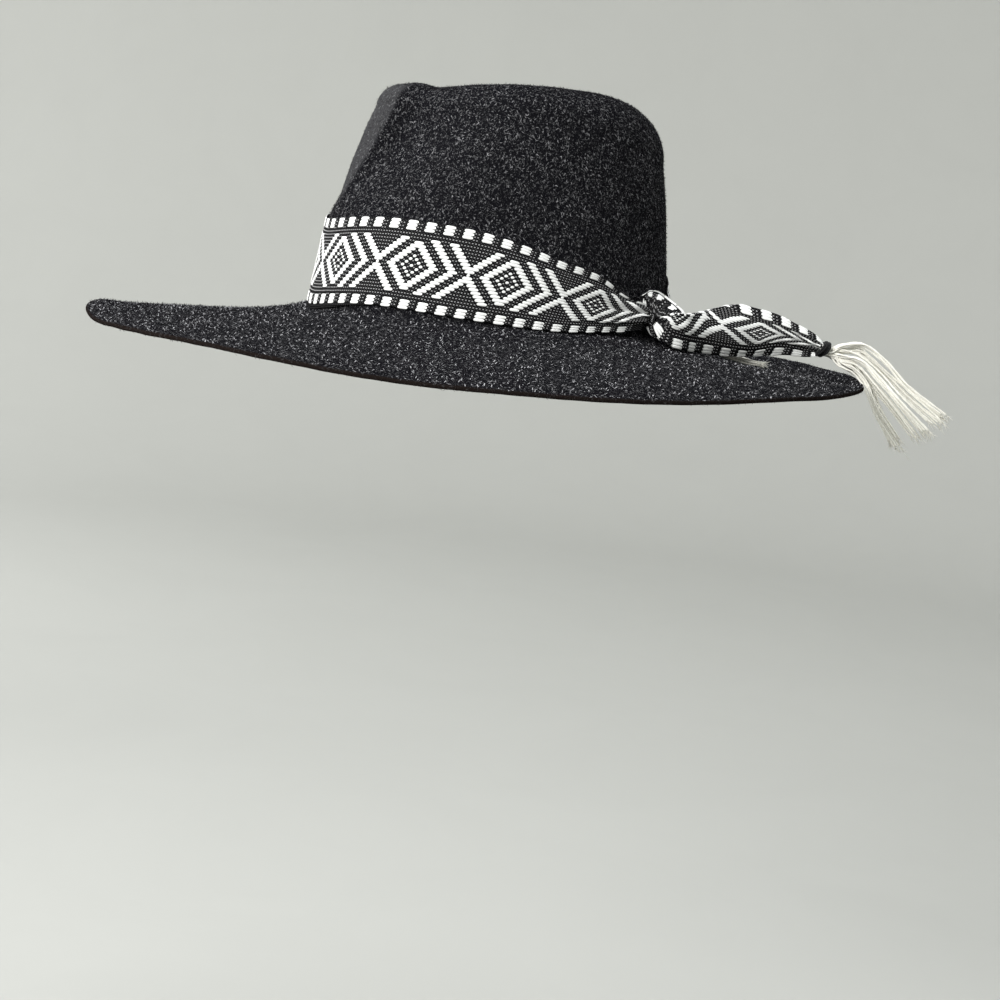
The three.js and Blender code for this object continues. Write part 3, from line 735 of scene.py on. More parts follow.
def knot_surface(way, size):
    """Cloth round the knot: u runs round it, and t from its free edge to the throat."""
    def surface(u, t):
        turn = way * (np.asarray(u) / KNOT_ROUND * 2 - 1) * 180
        share = np.clip((t + KNOT_RIM) / FUNNEL_WIDTH, 0, 1) ** 1.15
        o, a, z = (column(KNOT_LOOP, "turn", name, turn) for name in ("out", "along", "up"))
        if way < 0:
            a = np.maximum(a, -2.0) - 0.8
        turn = np.radians(turn)
        pleats = np.sin(KNOT_PLEATS * turn + 0.7 * np.sin(3 * turn))
        fold = 1 + PLEAT_DEPTH * pleats * smooth(share, 0.2, 0.8)
        radial = np.cos(share * math.pi / 2 * 0.96) ** 0.7 * fold * size
        z = KNOT_THROAT_UP + (z - KNOT_THROAT_UP) * radial
        a = a + (-way * KNOT_ALONG - a) * np.sin(share * math.pi / 2) ** 1.3
        return knot_point(np.maximum(o * radial, KNOT_INWARD), a, z)

    return surface


# Materials
COLOUR, NUMBER = "NodeSocketColor", "NodeSocketFloat"


def add_node(tree, kind, place, **values):
    """A shader node with its settings, and the values of its inputs by name."""
    made = tree.nodes.new("ShaderNode" + kind)
    made.location = place
    for name, value in values.items():
        if name in made.inputs:
            made.inputs[name].default_value = value
        else:
            setattr(made, name, value)
    return made


def feed(tree, socket, value):
    """Link an input from another node's output, or set it to a plain value."""
    if isinstance(value, bpy.types.NodeSocket):
        tree.links.new(value, socket)
    else:
        socket.default_value = value


def calculate(tree, place, operation, *terms, clamp=False):
    made = add_node(tree, "Math", place, operation=operation, use_clamp=clamp)
    for k, term in enumerate(terms):
        feed(tree, made.inputs[k], term)
    return made.outputs[0]


def noise(tree, place, at, scale, detail, roughness, distortion=0.0):
    made = add_node(tree, "TexNoise", place, Detail=detail, Roughness=roughness, Distortion=distortion)
    feed(tree, made.inputs["Vector"], at)
    feed(tree, made.inputs["Scale"], scale)
    return made.outputs["Fac"]


def stretch(tree, place, value, low, high, to_low=0.0, to_high=1.0):
    """A number mapped from one range to another, and kept within it."""
    made = add_node(tree, "MapRange", place, **{
        "From Min": low, "From Max": high, "To Min": to_low, "To Max": to_high})
    feed(tree, made.inputs["Value"], value)
    return made.outputs["Result"]


def mixed(tree, place, share, first, second):
    """Mix of two colours, by the colour sockets of a node that has others of the same name."""
    made = add_node(tree, "Mix", place, data_type="RGBA")
    feed(tree, made.inputs["Factor"], share)
    for name, value in (("A", first), ("B", second)):
        feed(tree, next(s for s in made.inputs if s.name == name and s.type == "RGBA"), value)
    return next(s for s in made.outputs if s.type == "RGBA")


def read_numbers(tree, place, name):
    return add_node(tree, "Attribute", place, attribute_name=name).outputs["Fac"]


def new_material(name, roughness, sheen=0.0, gloss=0.1):
    material = bpy.data.materials.new(name)
    material.use_nodes = True
    shader = material.node_tree.nodes["Principled BSDF"]
    for label, value in (("Roughness", roughness), ("Sheen Weight", sheen), ("Sheen Roughness", 0.5),
                         ("Specular IOR Level", gloss)):
        shader.inputs[label].default_value = value
    return material, material.node_tree, shader


def new_group(name, *takes):
    """A node group with its named inputs, which gives a colour and a height."""
    group = bpy.data.node_groups.new(name, "ShaderNodeTree")
    for label, kind, value in takes:
        socket = group.interface.new_socket(label, in_out="INPUT", socket_type=kind)
        socket.default_value = value
    for label, kind in (("Color", COLOUR), ("Height", NUMBER)):
        group.interface.new_socket(label, in_out="OUTPUT", socket_type=kind)
    return group, group.nodes.new("NodeGroupInput").outputs, group.nodes.new("NodeGroupOutput").inputs


def wool_group():
    """Mixed wool: pale curled fibres through a dark ground, in patches of light and dark."""
    if "mixed wool" in bpy.data.node_groups:
        return bpy.data.node_groups["mixed wool"]
    group, takes, gives = new_group(
        "mixed wool", ("Ground", COLOUR, (0, 0, 0, 1)), ("Fleck", COLOUR, (1, 1, 1, 1)),
        ("Grain", NUMBER, 950.0))
    place = add_node(group, "TexCoord", (-1200, 0)).outputs["Object"]
    fibres = noise(group, (-900, 200), place, takes["Grain"], 1.6, 0.5, 1.4)
    bright = stretch(group, (-700, 200), fibres, 0.57, 0.70)
    finer = calculate(group, (-900, -60), "MULTIPLY", takes["Grain"], 2.3)
    hairs = noise(group, (-700, -60), place, finer, 2.0, 0.7, 2.5)
    spark = stretch(group, (-500, -60), hairs, 0.64, 0.76)
    patches = noise(group, (-700, -320), place, 38.0, 2.0, 0.5)
    even = stretch(group, (-500, -320), patches, 0.3, 0.7, 0.72, 1.2)
    both = calculate(group, (-300, 100), "MAXIMUM", bright, spark)
    mask = calculate(group, (-120, 0), "MULTIPLY", both, even, clamp=True)
    feed(group, gives["Color"], mixed(group, (60, 100), mask, takes["Ground"], takes["Fleck"]))
    feed(group, gives["Height"], both)
    return group


def yarn_group():
    """Fine fibres of a spun yarn: a shade mask and a height."""
    if "spun yarn" in bpy.data.node_groups:
        return bpy.data.node_groups["spun yarn"]
    group, takes, gives = new_group(
        "spun yarn", ("Yarn", COLOUR, (1, 1, 1, 1)), ("Shade", COLOUR, (0.5, 0.5, 0.5, 1)),
        ("Grain", NUMBER, 1500.0))
    place = add_node(group, "TexCoord", (-900, 0)).outputs["Object"]
    fibres = noise(group, (-700, 0), place, takes["Grain"], 4.0, 0.65, 0.8)
    mask = stretch(group, (-500, 0), fibres, 0.35, 0.62)
    feed(group, gives["Color"], mixed(group, (-250, 0), mask, takes["Shade"], takes["Yarn"]))
    feed(group, gives["Height"], fibres)
    return group


def shaded(colour, share=1.0):
    return (*(c * share for c in colour), 1.0)


def place_group(tree, group, place, **values):
    made = add_node(tree, "Group", place, node_tree=group)
    for name, value in values.items():
        made.inputs[name].default_value = value
    return made.outputs["Color"], made.outputs["Height"]


def bump_from(tree, height, shader, distance, strength=1.0):
    bump = add_node(tree, "Bump", (-200, -300), Strength=strength, Distance=distance)
    feed(tree, bump.inputs["Height"], height)
    feed(tree, shader.inputs["Normal"], bump.outputs["Normal"])


def felt_material():
    """Mixed wool, with a painted sheen (paler wool colour at a grazing look) along the front ridge, and
    brown at the cut edge.
    """
    felt = settings()[0]
    material, tree, shader = new_material("wool felt", 1.0, 0.0, 0.0)
    wool, height = place_group(
        tree, wool_group(), (-700, 0), Ground=shaded(felt.ground), Fleck=shaded(felt.fleck))
    edge = read_numbers(tree, (-700, 300), "cut_edge")
    # Painted sheen: paler wool mixed into the colour along the front ridge, the more so the more the look
    # grazes.
    ridge = read_numbers(tree, (-900, 500), "pressed_and_sheen")
    grazing = add_node(tree, "LayerWeight", (-900, 650), Blend=0.5).outputs["Facing"]
    share = calculate(tree, (-700, 500), "MULTIPLY", ridge, grazing)
    sheened_wool = mixed(tree, (-500, 400), share, wool, shaded(felt.fleck, 0.6))
    whole = mixed(tree, (-400, 100), edge, sheened_wool, shaded(felt.cut_edge))
    feed(tree, shader.inputs["Base Color"], whole)
    bump_from(tree, height, shader, 0.0005, 0.8)
    return material


def nap_material():
    felt = settings()[0]
    material, tree, shader = new_material("felt nap", 1.0, 0.0, 0.0)
    shade = read_numbers(tree, (-600, 0), "shade")
    fibre = mixed(tree, (-300, 0), shade, shaded(felt.ground, 0.8), shaded(felt.fleck, 3.2))
    feed(tree, shader.inputs["Base Color"], fibre)
    return material


def yarn_material(name, colour, shade=0.7, roughness=0.85, grain=1500.0, depth=0.0002):
    if name in bpy.data.materials:
        return bpy.data.materials[name]
    material, tree, shader = new_material(name, roughness, 0.1)
    yarn, height = place_group(
        tree, yarn_group(), (-500, 0), Yarn=shaded(colour), Shade=shaded(colour, shade), Grain=grain)
    feed(tree, shader.inputs["Base Color"], yarn)
    bump_from(tree, height, shader, depth)
    return material


def ground_material():
    """Black ground cloth: ribs at each row and fine crossings, from the weave coordinates."""
    name = "band ground cloth"
    if name in bpy.data.materials:
        return bpy.data.materials[name]
    band = settings()[1]
    material, tree, shader = new_material(name, 0.9, 0.0, 0.03)
    yarn, _ = place_group(tree, yarn_group(), (-900, 200), Yarn=shaded(band.ground),
                          Shade=shaded(band.ground, 0.5), Grain=1800.0)
    ribs = []
    for attribute, pitch, row in (("across", ROW, 0), ("along", PICK, -250)):
        read = read_numbers(tree, (-1300, row), attribute)
        turn = calculate(tree, (-1100, row), "MULTIPLY", read, 2 * math.pi / pitch)
        ribs.append(calculate(tree, (-900, row), "COSINE", turn))
    crossings = calculate(tree, (-700, -120), "MULTIPLY", *ribs)
    ends = stretch(tree, (-500, -120), crossings, 0.45, 1.0, 0.0, 0.35)
    feed(tree, shader.inputs["Base Color"], mixed(tree, (-300, 100), ends, yarn, shaded(band.speck, 0.6)))
    bump_from(tree, ribs[0], shader, 0.00025)
    return material


def figure_material():
    return yarn_material("white figure yarn", settings()[1].figure, 0.86, 0.7)


def speck_material():
    return yarn_material("pale speck yarn", settings()[1].speck, 0.7)


def stage_material():
    material, tree, shader = new_material("stage paper", 0.9)
    paper = settings()[3].floor
    colour, _ = place_group(
        tree, yarn_group(), (-500, 0), Yarn=shaded(paper), Shade=shaded(paper, 0.985), Grain=4.0)
    feed(tree, shader.inputs["Base Color"], colour)
    return material


# Pieces
def felt_rows():
    """Rings of the felt's outer face, from the middle of the top to the brim's edge."""
    step = 2 * math.pi * np.arange(FELT_AROUND) / FELT_AROUND
    angle = step - FRONT_BUNCHING * np.sin(step)
    rows = [top_point(angle, s) for s in np.linspace(0.04, 0.97, TOP_ROWS)]
    rows += [shoulder_point(angle, s) for s in np.linspace(1, 0, SHOULDER_ROWS)]
    top = crest_height(angle) - wave("shoulder_drop", angle)
    foot = foot_height(angle) + FOOT_FILLET
    rows += [wall_point(angle, foot + (top - foot) * s) for s in np.linspace(0.965, 0, WALL_ROWS)]
    rows += [fillet_point(angle, s) for s in np.linspace(0.2, 1, FILLET_ROWS)]
    outs = np.concatenate([np.linspace(0.02, 0.86, BRIM_ROWS), np.linspace(0.88, 1, EDGE_ROWS)])
    rows += [brim_point(angle, s) for s in outs]
    return np.array(rows)


def hand_shaping(points):
    """Slight unevenness of hand-blocked felt: long low swells, in millimetres."""
    x, y, z = (points[..., k] for k in range(3))
    swell = np.sin(x * 0.051 + 1.3) * np.sin(y * 0.043 + 0.4) + 0.6 * np.sin(x * 0.09 - z * 0.07 + 2.1)
    return 0.35 * swell + 0.12 * np.sin(x * 0.21 + y * 0.17) * np.sin(z * 0.19 - y * 0.13)


def felt_skin():
    """The felt's outer face, shaped by hand, and its normals."""
    outer = felt_rows()
    along = np.roll(outer, -1, 1) - np.roll(outer, 1, 1)
    across = np.empty_like(outer)
    across[1:-1] = outer[2:] - outer[:-2]
    across[0], across[-1] = outer[1] - outer[0], outer[-1] - outer[-2]
    normal = unit(np.cross(across, along))
    row = np.arange(len(outer))
    crown = smooth(row, 0, 6) * (1 - smooth(row, CROWN_ROWS - 5, CROWN_ROWS + 1))
    brim = smooth(row, CROWN_ROWS + 13, CROWN_ROWS + 27)
    return outer + normal * (hand_shaping(outer) * np.maximum(crown, brim)[:, None])[..., None], normal


def build_felt():
    """Closed felt shell: inner face, rounded cut edge, outer face."""
    outer, normal = felt_skin()
    inner = outer - normal * FELT
    away = outer[-1] - outer[-2]
    away[:, 2] = 0
    away = unit(away)
    edge = []
    for turn in np.linspace(0, math.pi, 7)[1:-1]:
        share = (1 - math.cos(turn)) / 2
        edge.append(inner[-1] + (outer[-1] - inner[-1]) * share + away * EDGE_BULGE * math.sin(turn))
    loops = np.concatenate([inner, np.array(edge), outer[::-1]])
    first, last = len(inner), len(inner) + len(edge)
    tint = np.zeros(loops.shape[:2])
    tint[first:last] = CUT_TINT
    tint[first - 1], tint[last] = RIM_TINT, RIM_TINT
    faces = bar_faces(len(loops), FELT_AROUND)
    piece = make_piece("felt_hat_body", loops, faces, felt_material(), "felt_body", "felt")
    add_numbers(piece, "cut_edge", tint)
    # The front ridge's share of painted sheen, for the felt's colour.
    add_numbers(piece, "pressed_and_sheen", pressed_and_sheen(loops) * RIDGE_SHEEN)


def nap_fibres(points, normals, count, length, stand, comb, bright, seed):
    """Loose fibres as curled blades, `stand` degrees up and combed downward by `comb`."""
    rng = np.random.default_rng(seed)

    def each(low, high):
        return rng.uniform(low, high, (count, 1))

    rows, around = points.shape[:2]
    r, c = (a.ravel() for a in np.meshgrid(np.arange(rows - 1), np.arange(around), indexing="ij"))
    c2 = (c + 1) % around
    corner = points[r, c]
    size = np.linalg.norm(np.cross(points[r, c2] - corner, points[r + 1, c] - corner), axis=1)
    pick = rng.choice(len(size), count, p=size / size.sum())
    r, c, c2 = r[pick], c[pick], c2[pick]
    a, b = rng.random((2, count, 1))
    root = ((points[r, c] * (1 - a) + points[r, c2] * a) * (1 - b)
            + (points[r + 1, c] * (1 - a) + points[r + 1, c2] * a) * b)
    up = normals[r, c]
    pale = rng.random((count, 1)) < PALE_SHARE
    ahead = rng.normal(size=(count, 3)) - np.array([0, 0, comb])
    ahead = unit(ahead - up * (ahead * up).sum(1, keepdims=True))
    long = length * each(0.45, 1.3) * np.where(pale, 0.5, 0.62)
    rise = np.radians(np.where(pale, each(3, stand), each(8, stand + 18)))
    curl = each(-0.9, 0.9)
    half = np.where(pale, each(0.12, 0.23), each(0.07, 0.15))
    spine, across = [root - up * 0.04], [np.cross(up, ahead)]
    for lift in (1, 0.3):
        spine.append(spine[-1] + (ahead * np.cos(rise) + up * np.sin(rise) * lift) * long)
        ahead = unit(ahead + across[-1] * curl)
        across.append(np.cross(up, ahead))
    p = []
    for k, wide in enumerate((0.8, 1, 0.35)):
        p += [spine[k] - across[k] * half * wide, spine[k] + across[k] * half * wide]
    one = np.array([[k, k + 1, k + 3, k + 2] for k in (0, 2)])
    # `bright` scales the pale fibres' tone; the brim's larger value is painted light.
    shade = np.where(pale[:, 0], bright * rng.uniform(0.1, 1, count) ** 1.5, rng.uniform(0, 0.04, count))
    kept = rng.random(count) > pressed_and_sheen(root) * RIDGE_THINNING
    faces = (one[None] + (np.arange(kept.sum()) * 6)[:, None, None]).reshape(-1, 4)
    return np.stack(p, 1)[kept].reshape(-1, 3), faces, np.repeat(shade[kept], 6)


def build_nap():
    felt = settings()[0]
    outer, normal = felt_skin()
    under, down = (outer - normal * FELT)[::-1], -normal[::-1]
    material = nap_material()
    crown, brim, below = slice(CROWN_ROWS), slice(CROWN_ROWS + 2, None), slice(UNDER_ROWS)
    parts = (  # piece, its felt, fibres, stand, comb, brightness (with painted light on the brim), seed
        ("crown_nap", outer[crown], normal[crown], felt.nap_fibres, 28, 1.2, 0.5, 11),
        # The brim's pale fibres are twice as bright as the crown's: painted light on its upper face.
        ("brim_nap", outer[brim], normal[brim], felt.nap_fibres, 50, 0.0, 1.0, 12),
        ("under_brim_nap", under[below], down[below], felt.nap_fibres // 2, 30, 0.0, 0.6, 13),
    )
    for name, points, normals, count, *ways in parts:
        p, faces, shade = nap_fibres(points, normals, count, felt.nap_length / MM, *ways)
        piece = make_piece(name, p, faces, material, None, "felt", False)
        add_numbers(piece, "shade", shade)


def dressed_cloth(name, node, surface, u_range, t_range, steps, closed=False, edging=()):
    """Ground cloth with its white floats and pale specks, which aren't over its edge."""
    pieces = [cloth_piece(name, surface, u_range, t_range, steps, ground_material(), closed,
                          node=node, slot="woven_band")]
    for part, spans, rise, material in (
            ("figure", white_floats(*u_range), settings()[1].float_rise / MM, figure_material()),
            ("specks", pale_specks(*u_range), SPECK_RISE, speck_material())):
        spans = spans[spans[:, 2] + spans[:, 3] / 2 < t_range[1] + 0.01]
        if part == "figure" and len(edging):
            spans = np.concatenate([spans[spans[:, 2] < 2 * ROW], edging])
        points, faces = float_mesh(surface, spans, rise)
        pieces.append(make_piece(f"{name}_{part}", points, faces, material, None, "woven_band"))
    return pieces


def build_band():
    ground, *woven = dressed_cloth(
        "woven_hat_band", "hat_band", band_surface, BAND_REACH, (band_low, BAND_WIDTH), (420, 54))


def build_knot():
    lump = []
    turns = np.linspace(0, 2 * math.pi, 64, endpoint=False)
    for polar in np.linspace(0.05, 0.95, 30) * math.pi:
        radial = 0.6 * math.sin(polar) ** 0.8
        o = np.maximum(KNOT_OUT * radial * np.cos(turns), KNOT_INWARD + 0.6)
        a = np.full(64, -(KNOT_ALONG - 1.5) * math.cos(polar))
        lump.append(knot_point(o, a, KNOT_UP * radial * np.sin(turns)))
    lump = np.array(lump)
    faces = bar_faces(len(lump), len(turns))
    core = make_piece("knot_core", lump, faces, ground_material(), "band_knot", "woven_band")
    add_numbers(core, "along", lump[..., 0])
    add_numbers(core, "across", lump[..., 2])
    for name, way, size, squares in (("knot_wrap", 1, 1.0, range(4, 9)), ("knot_back", -1, 0.93, range(5))):
        edging = np.array([(k * EDGE_SQUARE + 0.02, k * EDGE_SQUARE + 8.78, t, 0.8)
                           for k in squares for t in (-2.9, -1.5)])
        ground, *woven = dressed_cloth(
            name, None, knot_surface(way, size), (0, KNOT_ROUND),
            (-KNOT_RIM, FUNNEL_WIDTH - KNOT_RIM), (168, 26), True, edging)


def build_tails():
    for name, node, rows, cut in (
            ("front_tail", "band_tail", FRONT_TAIL, FRONT_TAIL_DIAMOND),
            ("short_tail", "back_tail", BACK_TAIL, BACK_TAIL_DIAMOND)):
        table = tail_table(rows)
        plain = tail_surface(table)
        shift = DIAMOND_AT * PICK - cut * TAIL_SLACK

        def surface(u, t, plain=plain, shift=shift):
            return plain(u - shift, t)

        length = table["run"][-1] * TAIL_SLACK
        steps = (max(int(length), 24) * 2, 64)
        ground, *woven = dressed_cloth(name, node, surface, (shift, shift + length), (0, BAND_WIDTH), steps)


def tube(path, radius, sides, twist=0.0):
    """Tube along a path of points; with a twist its section is lobed and turns as plied yarn does."""
    path = np.asarray(path, float)
    ahead = unit(np.gradient(path, axis=0))
    side = np.empty_like(path)
    side[0] = unit(np.cross(ahead[0], [0.3, 0.1, 1.0]))
    for k in range(1, len(path)):
        side[k] = unit(side[k - 1] - ahead[k] * np.dot(side[k - 1], ahead[k]))
    up = np.cross(ahead, side)
    turn = 2 * math.pi * np.arange(sides) / sides
    r = np.broadcast_to(np.asarray(radius, float), (len(path),))[:, None] + 0 * turn
    if twist:
        spin = 2 * math.pi * run_along(path) / twist
        r = r * (1 - PLY_DEPTH + PLY_DEPTH * np.cos(PLIES * (turn - spin[:, None])))
    points = (path[:, None] + side[:, None] * (r * np.cos(turn))[..., None]
              + up[:, None] * (r * np.sin(turn))[..., None])
    return points.reshape(-1, 3), bar_faces(len(path), sides)


def joined(parts):
    """Several meshes' points and faces as one."""
    points, faces, total = [], [], 0
    for p, f in parts:
        points.append(p)
        faces += [[i + total for i in face] for face in f]
        total += len(p)
    return np.concatenate(points), faces


def curve_through(points, steps):
    """An even curve through points, by a cubic in each coordinate."""
    points = np.asarray(points, float)
    run = run_along(points)
    return tail_line({"run": run, **dict(zip("xyz", points.T))}, np.linspace(0, run[-1], steps))


def build_whippings():
    thread = yarn_material("black whipping thread", settings()[2].thread, 0.5, 0.55, 2500.0, 0.0001)
    for name, node, rows in (("front_whipping", "tail_whipping", FRONT_TAIL),
                             ("short_whipping", "back_whipping", BACK_TAIL)):
        table = tail_table(rows)
        centre, ahead, side, up = (v[0] for v in tail_frame(table, table["run"][-1:] - 0.6))
        rng = np.random.default_rng(21)
        parts = []
        for turns, proud, slope in WHIP_LAYERS:
            t = np.linspace(0, 1, turns * 26)
            spin = t * turns * 2 * math.pi * np.sign(slope)
            drift = 0.5 * np.sin(spin * 0.31 + rng.uniform(0, 6))
            drift += 0.3 * np.sin(spin * 0.77 + rng.uniform(0, 6))
            along_tail = (t - 0.5) * (WHIP_LENGTH - WHIP_THREAD) * abs(slope) + drift * (turns < 9)
            wobble = 0.22 * np.sin(spin * 0.37 + rng.uniform(0, 6)) - np.abs(2 * t - 1) ** 5
            r = WHIP_RADIUS + proud + wobble
            path = (centre + ahead * (along_tail + 0.42 * r * np.sin(spin))[:, None]
                    + side * (r * np.cos(spin))[:, None] + up * (r * 1.05 * np.sin(spin))[:, None])
            parts.append(tube(path, WHIP_THREAD / 2, 7))
        reach = np.array([[1.5, 1.0, 2.2], [2.9, 1.2, 2.2], [4.4, 1.5, 1.7], [5.6, 1.6, 1.8]])
        end = centre + reach[:, :1] * ahead + reach[:, 1:2] * side + reach[:, 2:] * up
        parts.append(tube(curve_through(end, 12), np.linspace(0.42, 0.2, 12), 6))
        points, faces = joined(parts)
        make_piece(name, points, faces, thread, node, "black_thread")


def strand_path(start, lock, spread, rng):
    """One strand: out of the whipping, then along its lock with its own drift."""
    centre, ahead, side, up = start
    turn, reach = rng.uniform(0, 2 * math.pi), BUNDLE_RADIUS * math.sqrt(rng.uniform(0.02, 1))
    off = side * reach * math.cos(turn) + up * reach * math.sin(turn)
    points = [centre - ahead * 2.5 + off * 0.9, centre + ahead * 3.6 + off]
    drift = rng.normal(size=3) * spread
    for k, p in enumerate(lock):
        share = (k + 1) / len(lock)
        p = np.array(p) + off * (1 - share) * 0.6 + drift * (0.35 + 0.9 * share)
        points.append(p + rng.normal(size=3) * 0.35)
    points[-1] = points[-1] + (points[-1] - points[-2]) * rng.uniform(-0.16, 0.05)
    return np.array(points)


def frayed_tip(path, rng):
    """Fine fibres where a strand's end has opened."""
    end, before = path[-1], path[-6]
    ahead = (end - before) / np.linalg.norm(end - before)
    parts = []
    for _ in range(TIP_HAIRS):
        splay = rng.normal(size=3) * 0.26
        long = rng.uniform(1.2, 4.2) * rng.uniform(0.6, 1.4)
        line = [end - ahead * 1.2, end + (ahead + splay * 0.5) * long * 0.5,
                end + (ahead + splay) * long + np.array([0, 0, -0.4])]
        parts.append(tube(curve_through(line, 5), np.linspace(0.2, 0.07, 5), 3))
    return parts


def tassel_mesh(table, locks, strands, spread, radius, seed):
    start = tuple(v[0] for v in tail_frame(table, table["run"][-1:]))
    rng = np.random.default_rng(seed)
    parts = []
    for lock in locks:
        for _ in range(strands):
            path = curve_through(strand_path(start, lock, spread, rng), STRAND_STEPS)
            ripple = np.linspace(0, rng.uniform(5, 9), STRAND_STEPS) + rng.uniform(0, 6)
            path = path + np.outer(0.3 * np.sin(ripple), unit(rng.normal(size=3)))
            parts.append(tube(path, radius * rng.uniform(0.85, 1.1), 8, PLY_TWIST))
            parts += frayed_tip(path, rng)
    return joined(parts)


def build_tassels():
    tassel = settings()[2]
    cotton = yarn_material("plied cotton", tassel.cotton, 0.82, 0.85, 1600.0, 0.0002)
    radius = tassel.strand_thick / 2 / MM
    front = tail_table(FRONT_TAIL)
    points, faces = tassel_mesh(front, FRONT_LOCKS, tassel.strands, 1.25, radius, 31)
    make_piece("front_tassel", points, faces, cotton, "tassel", "cream_cotton")
    back = tail_table(BACK_TAIL)
    locks = []
    for across in BACK_LOCK_ACROSS:
        plan = ((59.6 + across * 0.3, 118, 3.6), (58.6 + across * 0.75, 130, 2.5),
                (57.4 + across * 1.3, 140 - abs(across) * 0.6, 2.0))
        locks.append(tuple((x, y, float(brim_height(x, y)) + lift) for x, y, lift in plan))
    points, faces = tassel_mesh(back, locks, tassel.strands, 0.5, radius * 0.9, 32)
    make_piece("short_tassel", points, faces, cotton, "back_tassel", "cream_cotton")


# Stage
def camera_matrix():
    """Where the camera stands, so that the hat's origin falls on its own pixel of the picture."""
    azimuth, elevation, roll = (math.radians(VIEW[k]) for k in ("azimuth", "elevation", "roll"))
    back = Vector((math.sin(azimuth) * math.cos(elevation), -math.cos(azimuth) * math.cos(elevation),
                   math.sin(elevation)))
    right = Vector((math.cos(azimuth), math.sin(azimuth), 0))
    up = back.cross(right)
    level = right * math.cos(roll) + up * math.sin(roll)
    rise = up * math.cos(roll) - right * math.sin(roll)
    pixels = VIEW["lens"] / SENSOR * PICTURE
    aim = Vector(((ORIGIN_PIXEL[0] - PICTURE / 2) / pixels, (PICTURE / 2 - ORIGIN_PIXEL[1]) / pixels, 1.0))
    turn = aim.rotation_difference(Vector((0, 0, 1))).to_matrix()
    axes = turn.transposed() @ Matrix((level, rise, -back))
    columns = Matrix((axes[0], axes[1], -axes[2])).transposed()
    return Matrix.Translation(back * VIEW["distance"]) @ columns.to_4x4()


def build_camera():
    data = bpy.data.cameras.new("hat camera")
    data.sensor_width, data.lens = SENSOR, VIEW["lens"]
    data.clip_start, data.clip_end = 0.05, 50
    camera = add_object("hat camera", data)
    camera.matrix_world = camera_matrix()
    bpy.context.scene.camera = camera


def build_backdrop(material, drop):
    """Floor that curves up into a round wall."""
    floor_radius, corner, height = 2.6, 1.2, 3.6
    profile = [(r, -drop) for r in np.linspace(0.02, floor_radius, 14)]
    for turn in np.linspace(0, math.pi / 2, 14)[1:]:
        profile.append((floor_radius + corner * math.sin(turn), -drop + corner * (1 - math.cos(turn))))
    profile.append((floor_radius + corner, height))
    turns = np.linspace(0, 2 * math.pi, 96, endpoint=False)
    rows = np.array([[(r * math.cos(a), r * math.sin(a), z) for a in turns] for r, z in profile])
    faces = bar_faces(len(profile), len(turns), False)[:-1]
    faces[-1].reverse()
    mesh = bpy.data.meshes.new("stage_floor")
    mesh.from_pydata(rows.reshape(-1, 3).tolist(), [], faces)
    mesh.materials.append(material)
    mesh.polygons.foreach_set("use_smooth", np.ones(len(mesh.polygons), bool))
    add_object("stage_floor", mesh)


def soft_light(name, place, size, power, colour, aim=(0, 0, 0)):
    data = bpy.data.lights.new(name, "AREA")
    data.shape, data.size, data.energy, data.color = "DISK", size, power, colour
    light = add_object(name, data)
    light.location = place
    light.rotation_mode = "QUATERNION"
    light.rotation_quaternion = (Vector(aim) - Vector(place)).to_track_quat("-Z", "Y")


def build_stage():
    stage = settings()[3]
    scene = bpy.context.scene
    scene.view_settings.view_transform = "Standard"
    build_camera()
    build_backdrop(stage_material(), stage.floor_drop)
    soft_light("key light", (1.15, -2.15, 1.1), 1.6, stage.key_power, (1.0, 0.99, 0.97))
    soft_light("top light", (0.3, -0.2, 2.2), 1.8, stage.top_power, (0.98, 0.99, 1.0))
    soft_light("front light", (-1.1, -2.1, 0.45), 1.0, stage.front_power, (1.0, 1.0, 0.98))
    soft_light("wall light", (-1.6, -1.4, 0.5), 1.6, stage.wall_power, (1.0, 1.0, 0.98), (-3.8, -0.8, 0.4))
    world = bpy.data.worlds.new("room")
    world.use_nodes = True
    sky = world.node_tree.nodes["Background"].inputs
    sky["Color"].default_value = (0.95, 0.97, 0.95, 1)
    sky["Strength"].default_value = stage.sky
    scene.world = world


class Builder:
    """What the operators share: each one runs its own build function."""
    def execute(self, context):
        self.build()
        return {"FINISHED"}


class HAT_OT_felt(Builder, bpy.types.Operator):
    """Build the felt crown and brim"""
    bl_idname = "hat.felt"
    bl_label = "Felt Body"
    build = staticmethod(build_felt)


class HAT_OT_nap(Builder, bpy.types.Operator):
    """Raise the loose fibres of the felt"""
    bl_idname = "hat.nap"
    bl_label = "Felt Nap"
    build = staticmethod(build_nap)


class HAT_OT_band(Builder, bpy.types.Operator):
    """Weave the band round the crown"""
    bl_idname = "hat.band"
    bl_label = "Woven Band"
    build = staticmethod(build_band)


class HAT_OT_knot(Builder, bpy.types.Operator):
    """Tie the band's knot"""
    bl_idname = "hat.knot"
    bl_label = "Knot"
    build = staticmethod(build_knot)


class HAT_OT_tails(Builder, bpy.types.Operator):
    """Lay the two tails of the band"""
    bl_idname = "hat.tails"
    bl_label = "Tails"
    build = staticmethod(build_tails)


class HAT_OT_whippings(Builder, bpy.types.Operator):
    """Wind the black thread round the tail ends"""
    bl_idname = "hat.whippings"
    bl_label = "Whippings"
    build = staticmethod(build_whippings)


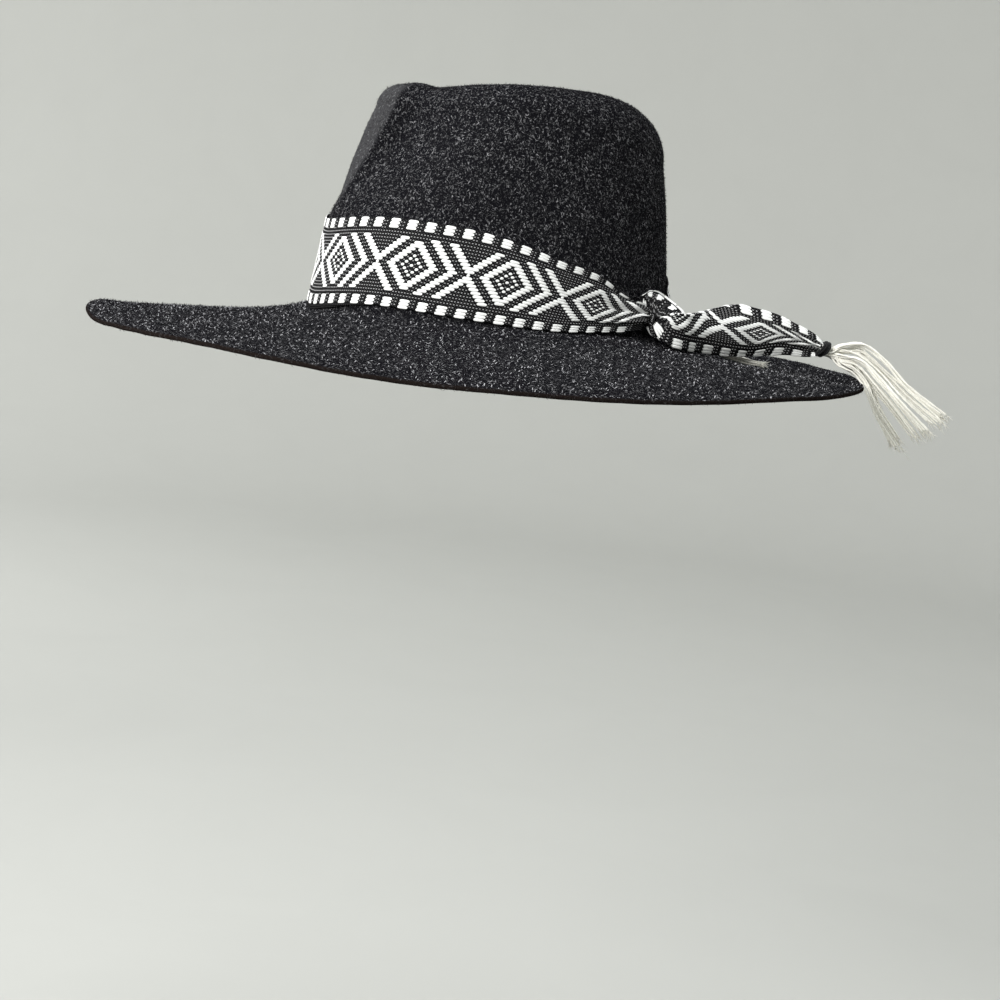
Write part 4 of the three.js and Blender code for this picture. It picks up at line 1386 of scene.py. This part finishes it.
class HAT_OT_tassels(Builder, bpy.types.Operator):
    """Hang the cotton tassels"""
    bl_idname = "hat.tassels"
    bl_label = "Tassels"
    build = staticmethod(build_tassels)


class HAT_OT_stage(Builder, bpy.types.Operator):
    """Set the floor, the lights and the camera"""
    bl_idname = "hat.stage"
    bl_label = "Stage"
    build = staticmethod(build_stage)


class HAT_PT_maker(bpy.types.Panel):
    """The hat's pieces and their sizes and colours"""
    bl_idname = "HAT_PT_maker"
    bl_label = "Felt Hat"
    bl_space_type = "VIEW_3D"
    bl_region_type = "UI"
    bl_category = "Felt Hat"

    def draw(self, context):
        for label, group, operators in PANEL_ROWS:
            box = self.layout.box()
            box.label(text=label)
            values = getattr(context.scene, group)
            for name in type(values).__annotations__:
                box.prop(values, name)
            for operator in operators:
                box.operator(operator.bl_idname)


PANEL_ROWS = (
    ("Felt", "hat_felt", (HAT_OT_felt, HAT_OT_nap)),
    ("Band", "hat_band", (HAT_OT_band, HAT_OT_knot, HAT_OT_tails)),
    ("Tassels", "hat_tassel", (HAT_OT_whippings, HAT_OT_tassels)),
    ("Stage", "hat_stage", (HAT_OT_stage,)),
)
SETTINGS = {"hat_felt": FeltSettings, "hat_band": BandSettings, "hat_tassel": TasselSettings,
            "hat_stage": StageSettings}
OPERATORS = tuple(operator for _, _, operators in PANEL_ROWS for operator in operators)
CLASSES = (*SETTINGS.values(), *OPERATORS, HAT_PT_maker)


def register():
    for one in CLASSES:
        bpy.utils.register_class(one)
    for name, group in SETTINGS.items():
        setattr(bpy.types.Scene, name, PointerProperty(type=group))


def unregister():
    for name in SETTINGS:
        delattr(bpy.types.Scene, name)
    for one in reversed(CLASSES):
        bpy.utils.unregister_class(one)


def main():
    register()
    bpy.ops.hat.stage()
    bpy.ops.hat.felt()
    bpy.ops.hat.nap()
    bpy.ops.hat.band()
    bpy.ops.hat.knot()
    bpy.ops.hat.tails()
    bpy.ops.hat.whippings()
    bpy.ops.hat.tassels()


if __name__ == "__main__":
    main()
